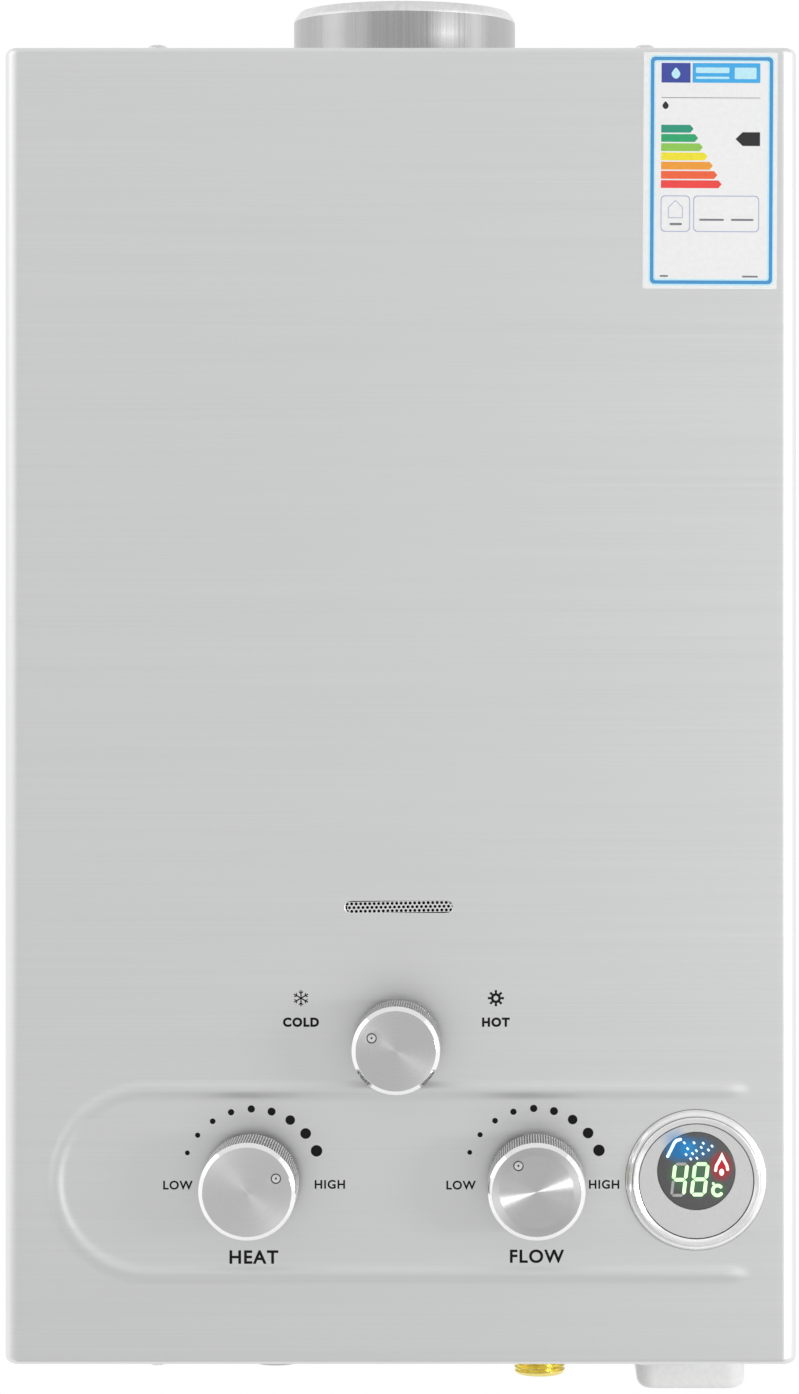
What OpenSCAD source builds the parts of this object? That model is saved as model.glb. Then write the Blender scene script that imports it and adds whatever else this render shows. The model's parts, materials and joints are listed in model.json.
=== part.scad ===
// Wall-hung tankless gas water heater, as an assembly of separate pieces.
// Millimetres. The origin is the centre of the wall face. +X is right seen from the front,
// the front panel faces -Y and +Z is up.

/* [Casing] */
// Width of the casing
body_w = 310; // [306:1:360]
// Height of the casing
body_h = 515; // [490:1:600]
// Depth of the casing, wall to front panel
body_d = 140; // [136:1:170]
// Thickness of the casing's sheet
sheet = 0.8; // [0.6:0.1:1.2]
// Bend radius of the long upright edges
edge_r = 6; // [3:0.5:10]
// Bend radius of the top and bottom folds
fold_r = 1.8; // [1.4:0.1:3]
// Corner radius of the casing seen from the front
corner_r = 3; // [2:0.5:5]
// Depth of the cover's top and bottom flanges
flange_d = 22; // [18:1:22]
// Gap between the wall and the cover's rear edge
cover_back = 1.5; // [1:0.5:5]
// Depth of the rear frame's side lips
frame_lip = 15; // [8:1:30]

/* [Wall holes] */
// Spacing of the wall holes across
hang_w = 180; // [120:10:240]
// Spacing of the wall holes up and down
hang_h = 440; // [400:10:450]
// Diameter of the wall holes
hang_d = 8; // [5:0.5:10]
// Length of the back plate's stiffening ribs
rib_l = 300; // [200:10:360]
// Spacing of the stiffening ribs
rib_pitch = 120; // [80:5:150]

/* [Cover screws] */
// Screws left and right of the middle
screw_x = 96; // [60:1:120]
// Screws behind the front panel
screw_back = 14.5; // [10:0.5:16]
// Thread diameter
screw_d = 4; // [3:0.5:5]
// Head diameter
screw_head_d = 8; // [6:0.5:10]
// Head height
screw_head_h = 2.8; // [2:0.1:4]

/* [Pressed bead] */
// Width of the bead
bead_w = 7.5; // [5:0.5:10]
// Height of the bead
bead_h = 1.2; // [0.6:0.1:2]
// Centre-line radius of the round left end
bead_r = 36; // [30:1:45]
// Centre of the round end, from the casing's left side
bead_left_in = 56.3; // [55:0.1:65]
// End of the straight legs, from the casing's right side
bead_right_in = 21; // [17:1:55]
// Middle of the bead above the casing's lower edge
bead_up = 71.5; // [60:0.5:80]

/* [Viewing grille] */
// Width of the viewing slot
view_w = 42; // [30:1:60]
// Height of the viewing slot
view_h = 4.6; // [3:0.2:6]
// Middle of the slot from the casing's middle
view_x = -0.6; // [-20:0.1:20]
// Slot above the casing's lower edge
view_up = 178.9; // [175:0.1:190]
// Diameter of the holes in the strip
grille_hole_d = 1.2; // [0.8:0.1:1.4]
// Pitch of the holes along a row
grille_pitch = 1.76; // [1.7:0.02:2.4]
// Pitch of the rows
grille_row = 1.45; // [1.3:0.05:2]
// Holes in a row
grille_cols = 24; // [10:1:26]
// Strip thickness
grille_t = 0.6; // [0.4:0.1:1]
// Strip reaching past the slot on each side
grille_margin = 4; // [3:0.5:8]
// Lean of the rows in the slot, in degrees
grille_tilt = 0.9; // [0:0.1:2]

/* [Flue] */
// Outside diameter of the flue collar
flue_d = 90; // [80:1:94]
// Collar above the casing
flue_h = 22; // [15:1:60]
// Wall of the collar
flue_wall = 0.8; // [0.6:0.1:1.2]
// Draw-in of the collar's mouth
flue_taper = 2.6; // [1:0.1:4]
// Height of the drawn-in mouth
flue_taper_h = 3.6; // [2:0.1:8]
// Width of the collar's base ring
flue_ring = 4; // [3:0.5:5]
// Flue and exchanger axis from the wall
flue_back = 68; // [66:0.5:70]

/* [Knobs] */
// Diameter of the gas and water knobs
knob_d = 37.5; // [30:0.5:44]
// Diameter of the season knob
season_knob_d = 34; // [28:0.5:40]
// Height of a knob
knob_h = 27; // [18:0.5:35]
// Gap between a knob and the panel
knob_gap = 8; // [3:0.5:12]
// Wall of the knob's metal cap
knob_wall = 1.5; // [1:0.1:2.5]
// Chamfer round the knob's face
knob_chamfer = 1.6; // [0.8:0.1:2.4]
// Ribs round a knob
knurl_n = 90; // [40:2:120]
// Depth of the ribs
knurl_depth = 0.35; // [0.2:0.05:0.6]
// Flat land between the ribs and the chamfer
knurl_land = 0.15; // [0.1:0.05:0.4]
// Diameter of the pointer dimple
dimple_d = 4; // [2:0.5:5]
// Pointer dimple in from the knob's edge
dimple_in = 6.5; // [5:0.5:9]
// Depth of the pointer dimple
dimple_depth = 0.5; // [0.2:0.1:1]
// Diameter of the control stems
stem_d = 8; // [6:0.5:10]
// Gas knob from the casing's middle
gas_x = -58; // [-62:0.5:-50]
// Water knob from the casing's middle
water_x = 53; // [48:0.5:56]
// Season knob from the casing's middle
season_x = -1; // [-10:0.5:10]
// Gas and water knobs above the lower edge
knob_up = 72.5; // [68:0.5:76]
// Season knob above the lower edge
season_up = 126.5; // [124:0.5:128]
// Gas pointer at rest, degrees from +X
gas_at = 25; // [0:1:180]
// Water pointer at rest, degrees from +X
water_at = 125; // [0:1:180]
// Season pointer at rest, degrees from +X
season_at = 152; // [0:1:180]

/* [Display] */
// Display from the casing's right side
display_in = 39.5; // [35:0.5:45]
// Display above the lower edge
display_up = 72.9; // [65:0.1:80]
// Outside diameter of the bezel
bezel_d = 55; // [50:0.5:60]
// Diameter of the bezel's raised step
bezel_step_d = 50; // [48:0.5:54]
// Diameter inside the bezel
bezel_bore = 44.7; // [40:0.1:46]
// Bezel in front of the panel
bezel_h = 7; // [4:0.5:10]
// Silver face below the bezel's rim
face_in = 3; // [1:0.5:4]
// Diameter of the dark window
lens_d = 30.6; // [24:0.2:32]
// Window above the display's middle
lens_up = 4; // [0:0.5:5]
// Thickness of the face and window
face_t = 2; // [1:0.5:3]
// Depth of the display module behind the panel
module_d = 14; // [8:1:25]

/* [Battery box] */
// Battery box from the casing's right side
battery_in = 39.6; // [35:0.1:43]
// Width of the box
box_w = 43.2; // [42:0.2:50]
// Depth of the box
box_d = 76; // [74:0.5:84]
// Box below the casing
box_drop = 17.5; // [12:0.5:25]
// Middle of the box from the wall
box_back = 62; // [60:0.5:66]
// Wall of the box
box_wall = 2; // [1.5:0.1:2.4]
// Round of the box's lower edges
box_r = 3.3; // [2:0.1:4]
// Diameter of a cell
cell_d = 33.5; // [32:0.1:34]
// Length of a cell
cell_h = 61.5; // [58:0.5:63]
// Thickness of the lid
lid_t = 2.4; // [2:0.1:3.2]
// Clearance round the lid
lid_gap = 0.4; // [0.3:0.05:0.6]
// Diameter of the lid's hinge pin
hinge_d = 2; // [1.5:0.1:2.4]

/* [Connections] */
// Outside diameter of the half-inch pipe thread
thread_d = 20.955; // [16:0.005:26]
// Bore of a connection
thread_bore = 14; // [10:0.5:15]
// Cold inlet below the casing
cold_drop = 16.5; // [10:0.5:30]
// Gas inlet below the casing
gas_drop = 12; // [8:0.5:30]
// Hot outlet below the casing
hot_drop = 15; // [8:0.5:19]
// Cold inlet right of the water knob
inlet_dx = 2; // [0:0.5:4]
// Gas inlet right of the gas knob
gas_dx = 6; // [0:0.5:8]
// Hot outlet past the ends of the exchanger tubes
hot_run = 16; // [13:0.5:20]
// Valve bodies above the frame's floor
valve_up = 14; // [12:0.5:18]

/* [Exchanger] */
// Width of the combustion shell
shell_w = 176; // [172:1:180]
// Depth of the combustion shell
shell_d = 96; // [95:1:98]
// Height of the combustion shell
shell_h = 198; // [180:1:210]
// Round of the shell's upright corners
shell_r = 4; // [3.5:0.5:5]
// Height of the fins
fin_h = 36; // [24:1:44]
// Thickness of a fin
fin_t = 0.6; // [0.4:0.1:1]
// Number of fins
fin_n = 30; // [10:1:40]
// Diameter of the exchanger tubes
tube_d = 14; // [12:0.5:15]
// Spacing of the exchanger tubes
tube_pitch = 22; // [21:0.5:23]
// Tubes below the shell's top edge
tube_down = 20; // [17:0.5:23]
// Diameter of the water pipes
pipe_d = 12; // [10:0.5:13]
// Wall of the pipes and tubes
pipe_wall = 1; // [0.6:0.1:1.5]
// Centre-line radius of the pipe bends
pipe_bend = 9; // [8:0.5:9.5]
// Lower wrap of the jacket coil above the shell's lower edge
wrap_low = 48; // [40:1:60]
// Rise from the lower wrap to the upper one
wrap_rise = 60; // [40:1:70]

/* [Burner] */
// Underside of the burner bars above the lower edge
bar_up = 128.7; // [127:0.1:132]
// Height of a bar
bar_h = 38.8; // [34:0.1:42]
// Width of a bar
bar_w = 9; // [7:0.5:11]
// Length of a bar
bar_l = 84; // [76:1:88]
// Number of bars
bar_n = 10; // [5:1:11]
// Pitch of the bars
bar_pitch = 16; // [13:0.5:16]
// Slots in the top of a bar
port_n = 9; // [4:1:12]
// Gap between the bars and the shell
flame_gap = 22; // [18:1:26]
// Side of the gas manifold
manifold_s = 12; // [10:0.5:13]
// Manifold in front of the bars
manifold_gap = 9; // [8:0.5:10]
// Nozzle diameter
nozzle_d = 6; // [4:0.5:7]
// Sheet of the burner frame
cheek_t = 1.2; // [1:0.1:1.6]

/* [Valves] */
// Gas valve body width
gas_w = 60; // [56:1:64]
// Gas valve body depth
gas_d = 50; // [40:1:54]
// Gas valve body height
gas_h = 74; // [60:1:80]
// Diameter of the gas feed pipe
feed_d = 14; // [10:0.5:15]
// Water valve body diameter
water_d = 30; // [26:1:34]
// Water valve body height
water_h = 77; // [70:1:84]
// Diaphragm housing diameter
dia_d = 56; // [48:1:60]
// Half housing thickness
dia_half = 10; // [9:0.5:12]
// Diaphragm thickness
dia_t = 1.2; // [0.8:0.1:2]
// Push rod above the valve bodies' underside
rod_up = 44; // [40:0.5:48]
// Push rod diameter
rod_d = 4; // [3:0.5:5]
// Travel of the push rod
rod_travel = 2.5; // [1:0.5:3]
// Curls of the return spring
spring_n = 7; // [4:1:9]
// Wire of the return spring
spring_wire = 1; // [0.6:0.1:1.2]
// Mean diameter of the return spring
spring_d = 8; // [7:0.5:8]

/* [Clearances] */
// Clearance of a stem or rod in its bore
run_gap = 0.05; // [0.02:0.01:0.1]
// Clearance of a piece that is fitted by hand
fit_gap = 0.2; // [0.1:0.05:0.3]
// Clearance of a hole round a part that passes through
pass_gap = 1; // [0.5:0.1:2]

/* [Hidden] */
$fn = 96;
cut = 1;
front_y = -body_d;
base_z = -body_h / 2;
top_z = body_h / 2;
panel_back = front_y + sheet;
plate_top = top_z - sheet;
plate_floor = base_z + sheet;
room_top = plate_top - sheet;
room_floor = plate_floor + sheet;
room_back = -sheet;
room_half_w = body_w / 2 - sheet;

// Pressed beads and ribs
bead_left = bead_left_in - body_w / 2;
bead_right = body_w / 2 - bead_right_in;
rib_n = 2;
rib_up = 50;

// Air slots in the floor
air_n = 3;
air_w = 5;
air_pitch = 16;
air_dx = 2;

// Controls
knob_z = base_z + knob_up;
season_z = base_z + season_up;
stem_r = stem_d / 2;
stem_hole_r = stem_r + 2 * pass_gap;
display_z = base_z + display_up;
display_x = body_w / 2 - display_in;
spigot_wall = 0.6;
seat_w = 1;
bezel_spigot_r = bezel_bore / 2 + spigot_wall;
bezel_seat_r = bezel_bore / 2 - seat_w;
face_back = bezel_h - face_in - face_t;
core_in = 3;
core_end = 3;
boss_r = stem_d + 1;
stem_in = 7;
stem_short = 5;

// Burner and exchanger stack
axis_y = -flue_back;
bar_z = base_z + bar_up;
bar_top = bar_z + bar_h;
bar_front = axis_y - bar_l / 2;
shell_z = bar_top + flame_gap;
shell_top = shell_z + shell_h;
shell_front = axis_y - shell_d / 2;
tube_z = shell_top - tube_down;
tube_n = 4;
manifold_back = bar_front - manifold_gap;
manifold_front = manifold_back - manifold_s;
throat_share = 0.3;
throat_z = bar_z + bar_h * throat_share;
foot_share = 0.7;
bar_foot = bar_l * foot_share;
bar_wall = 1;
manifold_z = throat_z - manifold_s / 2;
rail_t = 2;
rail_w = 10;
cheek_in = shell_w / 2 - cheek_t;
cheek_z = bar_z - rail_t;
hood_drop = 20;
hood_top = room_top - hood_drop;
hood_skirt = 12;
neck_gap = 0.6;
neck_r = flue_d / 2 - flue_wall - neck_gap;

// Water and gas train
valve_z = room_floor + valve_up;
rod_z = valve_z + rod_up;
rod_r = rod_d / 2;
cold_x = water_x + inlet_dx;
gas_inlet_x = gas_x + gas_dx;
gas_right = gas_x + gas_w / 2;
dia_x = cold_x - water_d / 2 - dia_half;
cover_x = dia_x - dia_t - dia_half;
plate_d = dia_d / 2;
plate_t = 1.5;
plate_room = 3;
bolt_d = 4;
bolt_in = 5;
bolt_end = 6;
rod_boss = 4;
collar_dx = 6;
collar_x = (gas_right + cover_x) / 2 + collar_dx;
collar_t = 2;
collar_r = 11;
wrap_front = shell_front - pipe_d / 2 - fit_gap;
wrap_back = axis_y + shell_d / 2 + pipe_d / 2 + fit_gap;
wrap_z = shell_z + wrap_low;
wrap_top = wrap_z + wrap_rise;
port_up = 54;
port_z = valve_z + port_up;
port_r = 8;
port_l = 6;
port_x = cold_x + water_d / 2 + port_l;
washer_t = 1.5;
flare_t = 1.5;
flare_r = 7.5;
nut_af = 24;
nut_l = 14;
nut_below = 6;
union_end = port_x + nut_l - nut_below;
pipe_x = max(shell_w / 2 + pipe_d / 2 + fit_gap, union_end + pipe_bend + fit_gap);
relief_up = 12;
relief_boss = 4;
riser_gap = 20;
riser_x = -(shell_w / 2 + riser_gap);
tube_out = 8;
tube_end = shell_w / 2 + tube_out;
tube_stub = 4;
hot_x = -(tube_end + hot_run);
hot_y = tube_y(tube_n - 1);
hot_up = 6;
hot_top = valve_z + hot_up;
hex_h = 9;
hex_more = 6;
neck_less = 1;
weld = 0.01;

// Micro switch
switch_l = 20;
switch_w = 6.4;
switch_h = 10;
plunger_r = 1.5;
plunger_dz = 8.5;
plunger_gap = 0.3;
plunger_out = 4;
plunger_in = 4;
switch_x = collar_x - plunger_gap - plunger_out;
switch_dz = 5;
switch_z = rod_z + switch_dz;

// Battery box
box_y = -box_back;
box_z = base_z - box_drop;
battery_x = body_w / 2 - battery_in;
contact_t = 0.5;
contact_room = 5.6;
box_top = box_z + lid_t + contact_room + cell_h + contact_t + box_wall;
door_w = box_w - 2 * box_r;
door_d = box_d - 2 * box_r;
cell_gap = 1;
cell_top = box_top - box_wall - contact_t;
cell_pitch = cell_d + cell_gap;
pin_end = 2;
pin_room = 3;
hinge_y = box_y + door_d / 2 - lid_t / 2 - lid_gap;
hinge_z = box_z + lid_t / 2;

// Electrodes, igniter and leads
probe_r = 3;
probe_z = bar_top + flame_gap / 2;
spark_in = 48;
probe_pitch = 16;
spark_x = shell_w / 2 - spark_in;
flame_x = spark_x + probe_pitch;
probe_out = 11;
probe_in = 8;
probe_front = shell_front - probe_out;
probe_back = shell_front + probe_in;
igniter_w = 28;
igniter_d = 24;
igniter_h = 60;
igniter_side = 8.2;
igniter_up = 137.5;
igniter_x = igniter_side + igniter_w / 2 - room_half_w;
igniter_z = base_z + igniter_up;
igniter_front = room_back - igniter_d;
lead_r = 1.5;
lead_bend = 4.5;
lead_out = 6;
lead_drop = 20;
lead_y = probe_front - lead_out;
lead_z = probe_z - lead_drop;

// General shapes

// Box between two opposite corners
module block(a, b) {
    translate(a) cube(b - a);
}

// Round bar along X
module bar_x(y, z, x0, x1, r) {
    translate([x0, y, z]) rotate([0, 90, 0]) cylinder(h = x1 - x0, r = r);
}

// Round bar along Y
module bar_y(x, z, y0, y1, r) {
    translate([x, y1, z]) rotate([90, 0, 0]) cylinder(h = y1 - y0, r = r);
}

// Round bar along Z
module bar_z(x, y, z0, z1, r) {
    translate([x, y, z0]) cylinder(h = z1 - z0, r = r);
}

// Outline in Y and Z, drawn out along X from x0 to x1
module draw_x(x0, x1) {
    translate([x0, 0, 0]) rotate([90, 0, 90]) linear_extrude(height = x1 - x0) children();
}

// Outline in X and Z, drawn out along Y from y0 to y1
module draw_y(y0, y1) {
    translate([0, y1, 0]) rotate([90, 0, 0]) linear_extrude(height = y1 - y0) children();
}

// Places children that stand on the front panel: their X is right, Y is up, Z is out of the panel
module on_panel(x, z) {
    translate([x, front_y, z]) rotate([90, 0, 0]) children();
}

// Rectangle with round corners
module round_rect(w, h, r) {
    square([w - 2 * r, h], center = true);
    square([w, h - 2 * r], center = true);
    for (x = [-1, 1], y = [-1, 1])
        translate([x * (w / 2 - r), y * (h / 2 - r)]) circle(r = r);
}

// Slot with round ends
module stadium(w, h) {
    square([w - h, h], center = true);
    for (x = [-1, 1]) translate([x * (w - h) / 2, 0]) circle(d = h);
}

// Hexagon across its flats
module hexagon(af) {
    circle(r = af / sqrt(3), $fn = 6);
}

// Direction from one point to the next
function heading(a, b) = (b - a) / norm(b - a);

// Any direction square to d, for headings along an axis
function square_to(d) = abs(d.z) > 0.5 ? [1, 0, 0] : [0, 0, 1];

// Matrix that puts the local axes on x, y and z, at p
function frame_at(x, y, z, p) = [
    [x.x, y.x, z.x, p.x], [x.y, y.y, z.y, p.y], [x.z, y.z, z.z, p.z], [0, 0, 0, 1]
];

// A route with its two ends drawn out by e
function longer(pts, e) = let (n = len(pts)) [
    for (i = [0 : n - 1])
        i == 0 ? pts[0] - e * heading(pts[0], pts[1])
        : i == n - 1 ? pts[i] + e * heading(pts[i - 1], pts[i])
        : pts[i]
];

// Solid rod along a route of square turns, each bent to the centre-line radius br
module bent_rod(pts, r, br) {
    last = len(pts) - 1;
    for (i = [0 : last - 1]) {
        d = heading(pts[i], pts[i + 1]);
        a = pts[i] + (i == 0 ? 0 : br) * d;
        b = pts[i + 1] - (i == last - 1 ? 0 : br) * d;
        u = square_to(d);
        if (norm(b - a) > 0.01)
            multmatrix(frame_at(u, cross(d, u), d, a)) cylinder(h = norm(b - a), r = r);
    }
    for (i = [1 : 1 : last - 1]) {
        d0 = heading(pts[i - 1], pts[i]);
        d1 = heading(pts[i], pts[i + 1]);
        multmatrix(frame_at(-d1, d0, cross(d0, d1), pts[i] + br * (d1 - d0)))
            rotate_extrude(angle = 90) translate([br, 0]) circle(r = r);
    }
}

// Tube along a route of square turns
module pipe(pts, d, wall, br) {
    difference() {
        bent_rod(pts, d / 2, br);
        bent_rod(longer(pts, cut), d / 2 - wall, br);
    }
}

// Casing

// Outside of the casing drawn in by inset on every side but the back, which lies at y = back
module casing_block(inset, back) {
    w = body_w - 2 * inset;
    h = body_h - 2 * inset;
    f = front_y + inset;
    er = edge_r - inset;
    fr = fold_r - inset;
    intersection() {
        translate([0, 0, -h / 2]) linear_extrude(height = h) {
            translate([-w / 2, f + er]) square([w, back - f - er]);
            translate([-w / 2 + er, f]) square([w - 2 * er, 2 * er]);
            for (x = [-1, 1]) translate([x * (w / 2 - er), f + er]) circle(r = er);
        }
        draw_x(-w / 2, w / 2) {
            translate([f + fr, -h / 2]) square([back - f - fr, h]);
            translate([f, -h / 2 + fr]) square([2 * fr, h - 2 * fr]);
            for (z = [-1, 1]) translate([f + fr, z * (h / 2 - fr)]) circle(r = fr);
        }
        draw_y(f, back) round_rect(w, h, corner_r - inset);
    }
}

// Half section of the bead: a low arc on a base that is let into the sheet
module bead_section() {
    arc_r = (bead_w * bead_w / 4 + bead_h * bead_h) / (2 * bead_h);
    intersection() {
        translate([0, bead_h - arc_r]) circle(r = arc_r);
        translate([-bead_w / 2, -sheet / 2]) square([bead_w, bead_h + sheet]);
    }
}

// The U-shaped bead, standing on the panel, with a dome at the end of each leg
module bead() {
    translate([bead_left, 0, 0]) rotate([0, 0, 90])
        rotate_extrude(angle = 180) translate([bead_r, 0]) bead_section();
    for (s = [-1, 1]) translate([bead_left, s * bead_r, 0]) {
        bead_run(bead_right - bead_left);
        translate([bead_right - bead_left, 0, 0]) bead_dome();
    }
}

// Straight bead of length l along X
module bead_run(l) {
    rotate([90, 0, 90]) linear_extrude(height = l) bead_section();
}

// Half dome that ends a bead, to the right of the origin
module bead_dome() {
    rotate([0, 0, -90]) rotate_extrude(angle = 180) intersection() {
        bead_section();
        translate([0, -bead_w]) square(2 * bead_w);
    }
}

// Places children at the back plate's ribs: their X is up and their Z points into the casing
module at_ribs() {
    for (i = [0 : rib_n - 1])
        translate([(i - (rib_n - 1) / 2) * rib_pitch, 0, rib_up - rib_l / 2])
            rotate([90, -90, 0]) children();
}

// Straight rib with a dome at both ends
module rib() {
    bead_run(rib_l);
    translate([rib_l, 0, 0]) bead_dome();
    rotate([0, 0, 180]) bead_dome();
}

// Places children at the four screws: on the top flange, and upside down on the bottom one
module at_cover_screws() {
    for (x = [-screw_x, screw_x], s = [0, 1])
        translate([x, front_y + screw_back, 0]) mirror([0, 0, s]) translate([0, 0, top_z]) children();
}

module front_cover() {
    side_in = body_w / 2 - sheet;
    color("silver") difference() {
        union() {
            difference() {
                casing_block(0, -cover_back);
                casing_block(sheet, cut);
                block([-side_in, front_y + flange_d, -top_z - cut], [side_in, cut, top_z + cut]);
            }
            on_panel(0, base_z + bead_up) bead();
        }
        on_panel(0, base_z + bead_up) translate([0, 0, -sheet]) bead();
        on_panel(view_x, base_z + view_up) translate([0, 0, -2 * sheet])
            linear_extrude(height = 3 * sheet) stadium(view_w, view_h);
        for (p = [[gas_x, knob_z], [water_x, knob_z], [season_x, season_z]])
            bar_y(p.x, p.y, front_y - cut, panel_back + cut, stem_hole_r);
        bar_y(display_x, display_z, front_y - cut, panel_back + cut, bezel_spigot_r + fit_gap);
        at_cover_screws() translate([0, 0, -sheet - cut])
            cylinder(h = sheet + 2 * cut, d = screw_d + 2 * fit_gap);
    }
}

// Back plate with the top and bottom plates folded forward, and lips along the sides
module rear_frame() {
    back_half = room_half_w - fit_gap;
    plate_half = body_w / 2 - corner_r - fit_gap;
    reach = panel_back + fold_r;
    lip_half_h = plate_top - corner_r - fold_r;
    color("lightgray") difference() {
        union() {
            difference() {
                draw_x(-plate_half, plate_half) round_rect_at(reach, plate_top, fold_r);
                draw_x(-plate_half - cut, plate_half + cut)
                    round_rect_at(reach, room_top, fold_r - sheet, sheet);
                block([-body_w, front_y - cut, -body_h], [body_w, reach, body_h]);
            }
            block([-back_half, room_back, -lip_half_h], [back_half, 0, lip_half_h]);
            for (s = [-1, 1])
                block([min(s * back_half, s * (back_half - sheet)), -frame_lip, -lip_half_h],
                      [max(s * back_half, s * (back_half - sheet)), 0, lip_half_h]);
            translate([0, -sheet, 0]) at_ribs() rib();
        }
        at_ribs() rib();
        for (x = [-hang_w / 2, hang_w / 2], z = [-hang_h / 2, hang_h / 2])
            bar_y(x, z, room_back - cut, cut, hang_d / 2);
        bar_z(0, axis_y, room_top - cut, plate_top + cut, flue_d / 2 - flue_wall);
        at_cover_screws() translate([0, 0, -2 * sheet - cut])
            cylinder(h = 2 * sheet + 2 * cut, d = screw_d + run_gap);
        for (p = [[cold_x, axis_y], [gas_inlet_x, axis_y], [hot_x, hot_y]])
            bar_z(p.x, p.y, plate_floor - cut, room_floor + cut, thread_d / 2 + pass_gap);
        translate([battery_x, box_y, plate_floor - cut]) linear_extrude(height = sheet + 2 * cut)
            round_rect(box_w + 2 * fit_gap, box_d + 2 * fit_gap, box_r);
        for (i = [-air_n : air_n]) translate([i * air_pitch + air_dx, axis_y / 2, plate_floor - cut])
            linear_extrude(height = sheet + 2 * cut) rotate(90) stadium(flue_back / 2, air_w);
    }
}

// Section of the folded plates in Y and Z, with round bends at the wall
module round_rect_at(reach, half_h, r, back = 0) {
    translate([reach - cut, -half_h]) square([-back - r - reach + cut, 2 * half_h]);
    translate([-back - 2 * r, -half_h + r]) square([2 * r, 2 * half_h - 2 * r]);
    for (z = [-1, 1]) translate([-back - r, z * (half_h - r)]) circle(r = r);
}

module cover_screws() {
    shank = 8;
    rim = 1;
    dome = screw_head_h - rim;
    dome_r = (screw_head_d * screw_head_d / 4 + dome * dome) / (2 * dome);
    color("gainsboro") at_cover_screws() {
        rotate_extrude() {
            square([screw_head_d / 2, rim]);
            intersection() {
                translate([0, screw_head_h - dome_r]) circle(r = dome_r);
                translate([0, rim]) square([screw_head_d / 2, dome]);
            }
        }
        translate([0, 0, -shank]) cylinder(h = shank, d = screw_d);
    }
}

module viewing_grille() {
    strip_w = view_w + 2 * grille_margin;
    strip_h = view_h + 2 * grille_margin;
    first = -(grille_cols - 1) / 2;
    color("whitesmoke") on_panel(view_x, base_z + view_up) translate([0, 0, -sheet - grille_t])
        linear_extrude(height = grille_t) difference() {
            square([strip_w, strip_h], center = true);
            rotate(grille_tilt) for (row = [-1 : 1], i = [0 : grille_cols - 1])
                translate([(first + i + (row == 0 ? 1 / 2 : 0)) * grille_pitch, row * grille_row])
                    circle(d = grille_hole_d, $fn = 24);
        }
}

// Flue

module flue_collar() {
    r = flue_d / 2;
    straight = flue_h + sheet - flue_taper_h;
    color("silver") translate([0, axis_y, plate_top]) rotate_extrude() {
        translate([r - flue_wall, 0]) square([flue_wall, straight]);
        translate([r - flue_wall, 0]) square([flue_ring + flue_wall, flue_wall]);
        polygon([
            [r - flue_wall, straight], [r, straight],
            [r - flue_taper, straight + flue_taper_h],
            [r - flue_taper - flue_wall, straight + flue_taper_h]
        ]);
    }
}

// Tapered hood over the exchanger, with spill slots in front and a neck into the collar
module draught_hood() {
    shoulder = 4;
    neck_half = neck_r + shoulder;
    neck_up = 5;
    neck_top = plate_top + neck_up;
    slot_n = 2;
    slot_pitch = 24;
    slot_w = 18;
    slot_h = 6;
    color("lightsteelblue") difference() {
        union() {
            draw_y(shell_front, shell_front + shell_d) hood_outline(0, neck_half);
            bar_z(0, axis_y, hood_top - sheet, neck_top, neck_r);
        }
        draw_y(shell_front + sheet, shell_front + shell_d - sheet) hood_outline(sheet, neck_half);
        bar_z(0, axis_y, hood_top - 2 * sheet, neck_top + cut, neck_r - sheet);
        for (i = [-slot_n : slot_n]) translate([i * slot_pitch, 0, shell_top + hood_skirt])
            draw_y(shell_front - cut, shell_front + 2 * sheet) stadium(slot_w, slot_h);
    }
}

module hood_outline(inset, neck_half) {
    w = shell_w / 2 - inset;
    polygon([
        [-w, shell_top - inset], [w, shell_top - inset], [w, shell_top + 2 * hood_skirt],
        [neck_half - inset, hood_top - inset], [-neck_half + inset, hood_top - inset],
        [-w, shell_top + 2 * hood_skirt]
    ]);
}

// Exchanger

function tube_y(i) = axis_y + (i - (tube_n - 1) / 2) * tube_pitch;

module combustion_shell() {
    color("peru") difference() {
        translate([0, axis_y, shell_z]) linear_extrude(height = shell_h)
            round_rect(shell_w, shell_d, shell_r);
        translate([0, axis_y, shell_z - cut]) linear_extrude(height = shell_h + 2 * cut)
            round_rect(shell_w - 2 * sheet, shell_d - 2 * sheet, shell_r - sheet);
        for (i = [0 : tube_n - 1])
            bar_x(tube_y(i), tube_z, -shell_w / 2 - cut, shell_w / 2 + cut, tube_d / 2 + run_gap);
    }
}

module exchanger_fins() {
    stack = shell_w - 2 * shell_r - 2 * fin_t;
    step = stack / (fin_n - 1);
    color("sandybrown") for (i = [0 : fin_n - 1])
        draw_x(-stack / 2 + i * step - fin_t / 2, -stack / 2 + i * step + fin_t / 2) difference() {
            translate([axis_y, tube_z]) square([shell_d - 2 * sheet - 2 * fit_gap, fin_h], center = true);
            for (k = [0 : tube_n - 1]) translate([tube_y(k), tube_z]) circle(d = tube_d + 2 * run_gap);
        }
}

module exchanger_tubes() {
    bend = tube_pitch / 2;
    far = shell_w / 2 + tube_stub + bend;
    route = [
        [-tube_end, tube_y(0), tube_z], [far, tube_y(0), tube_z], [far, tube_y(1), tube_z],
        [-far, tube_y(1), tube_z], [-far, tube_y(2), tube_z], [far, tube_y(2), tube_z],
        [far, tube_y(3), tube_z], [-tube_end, tube_y(3), tube_z]
    ];
    color("peru") pipe(route, tube_d, pipe_wall, bend);
}

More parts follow.
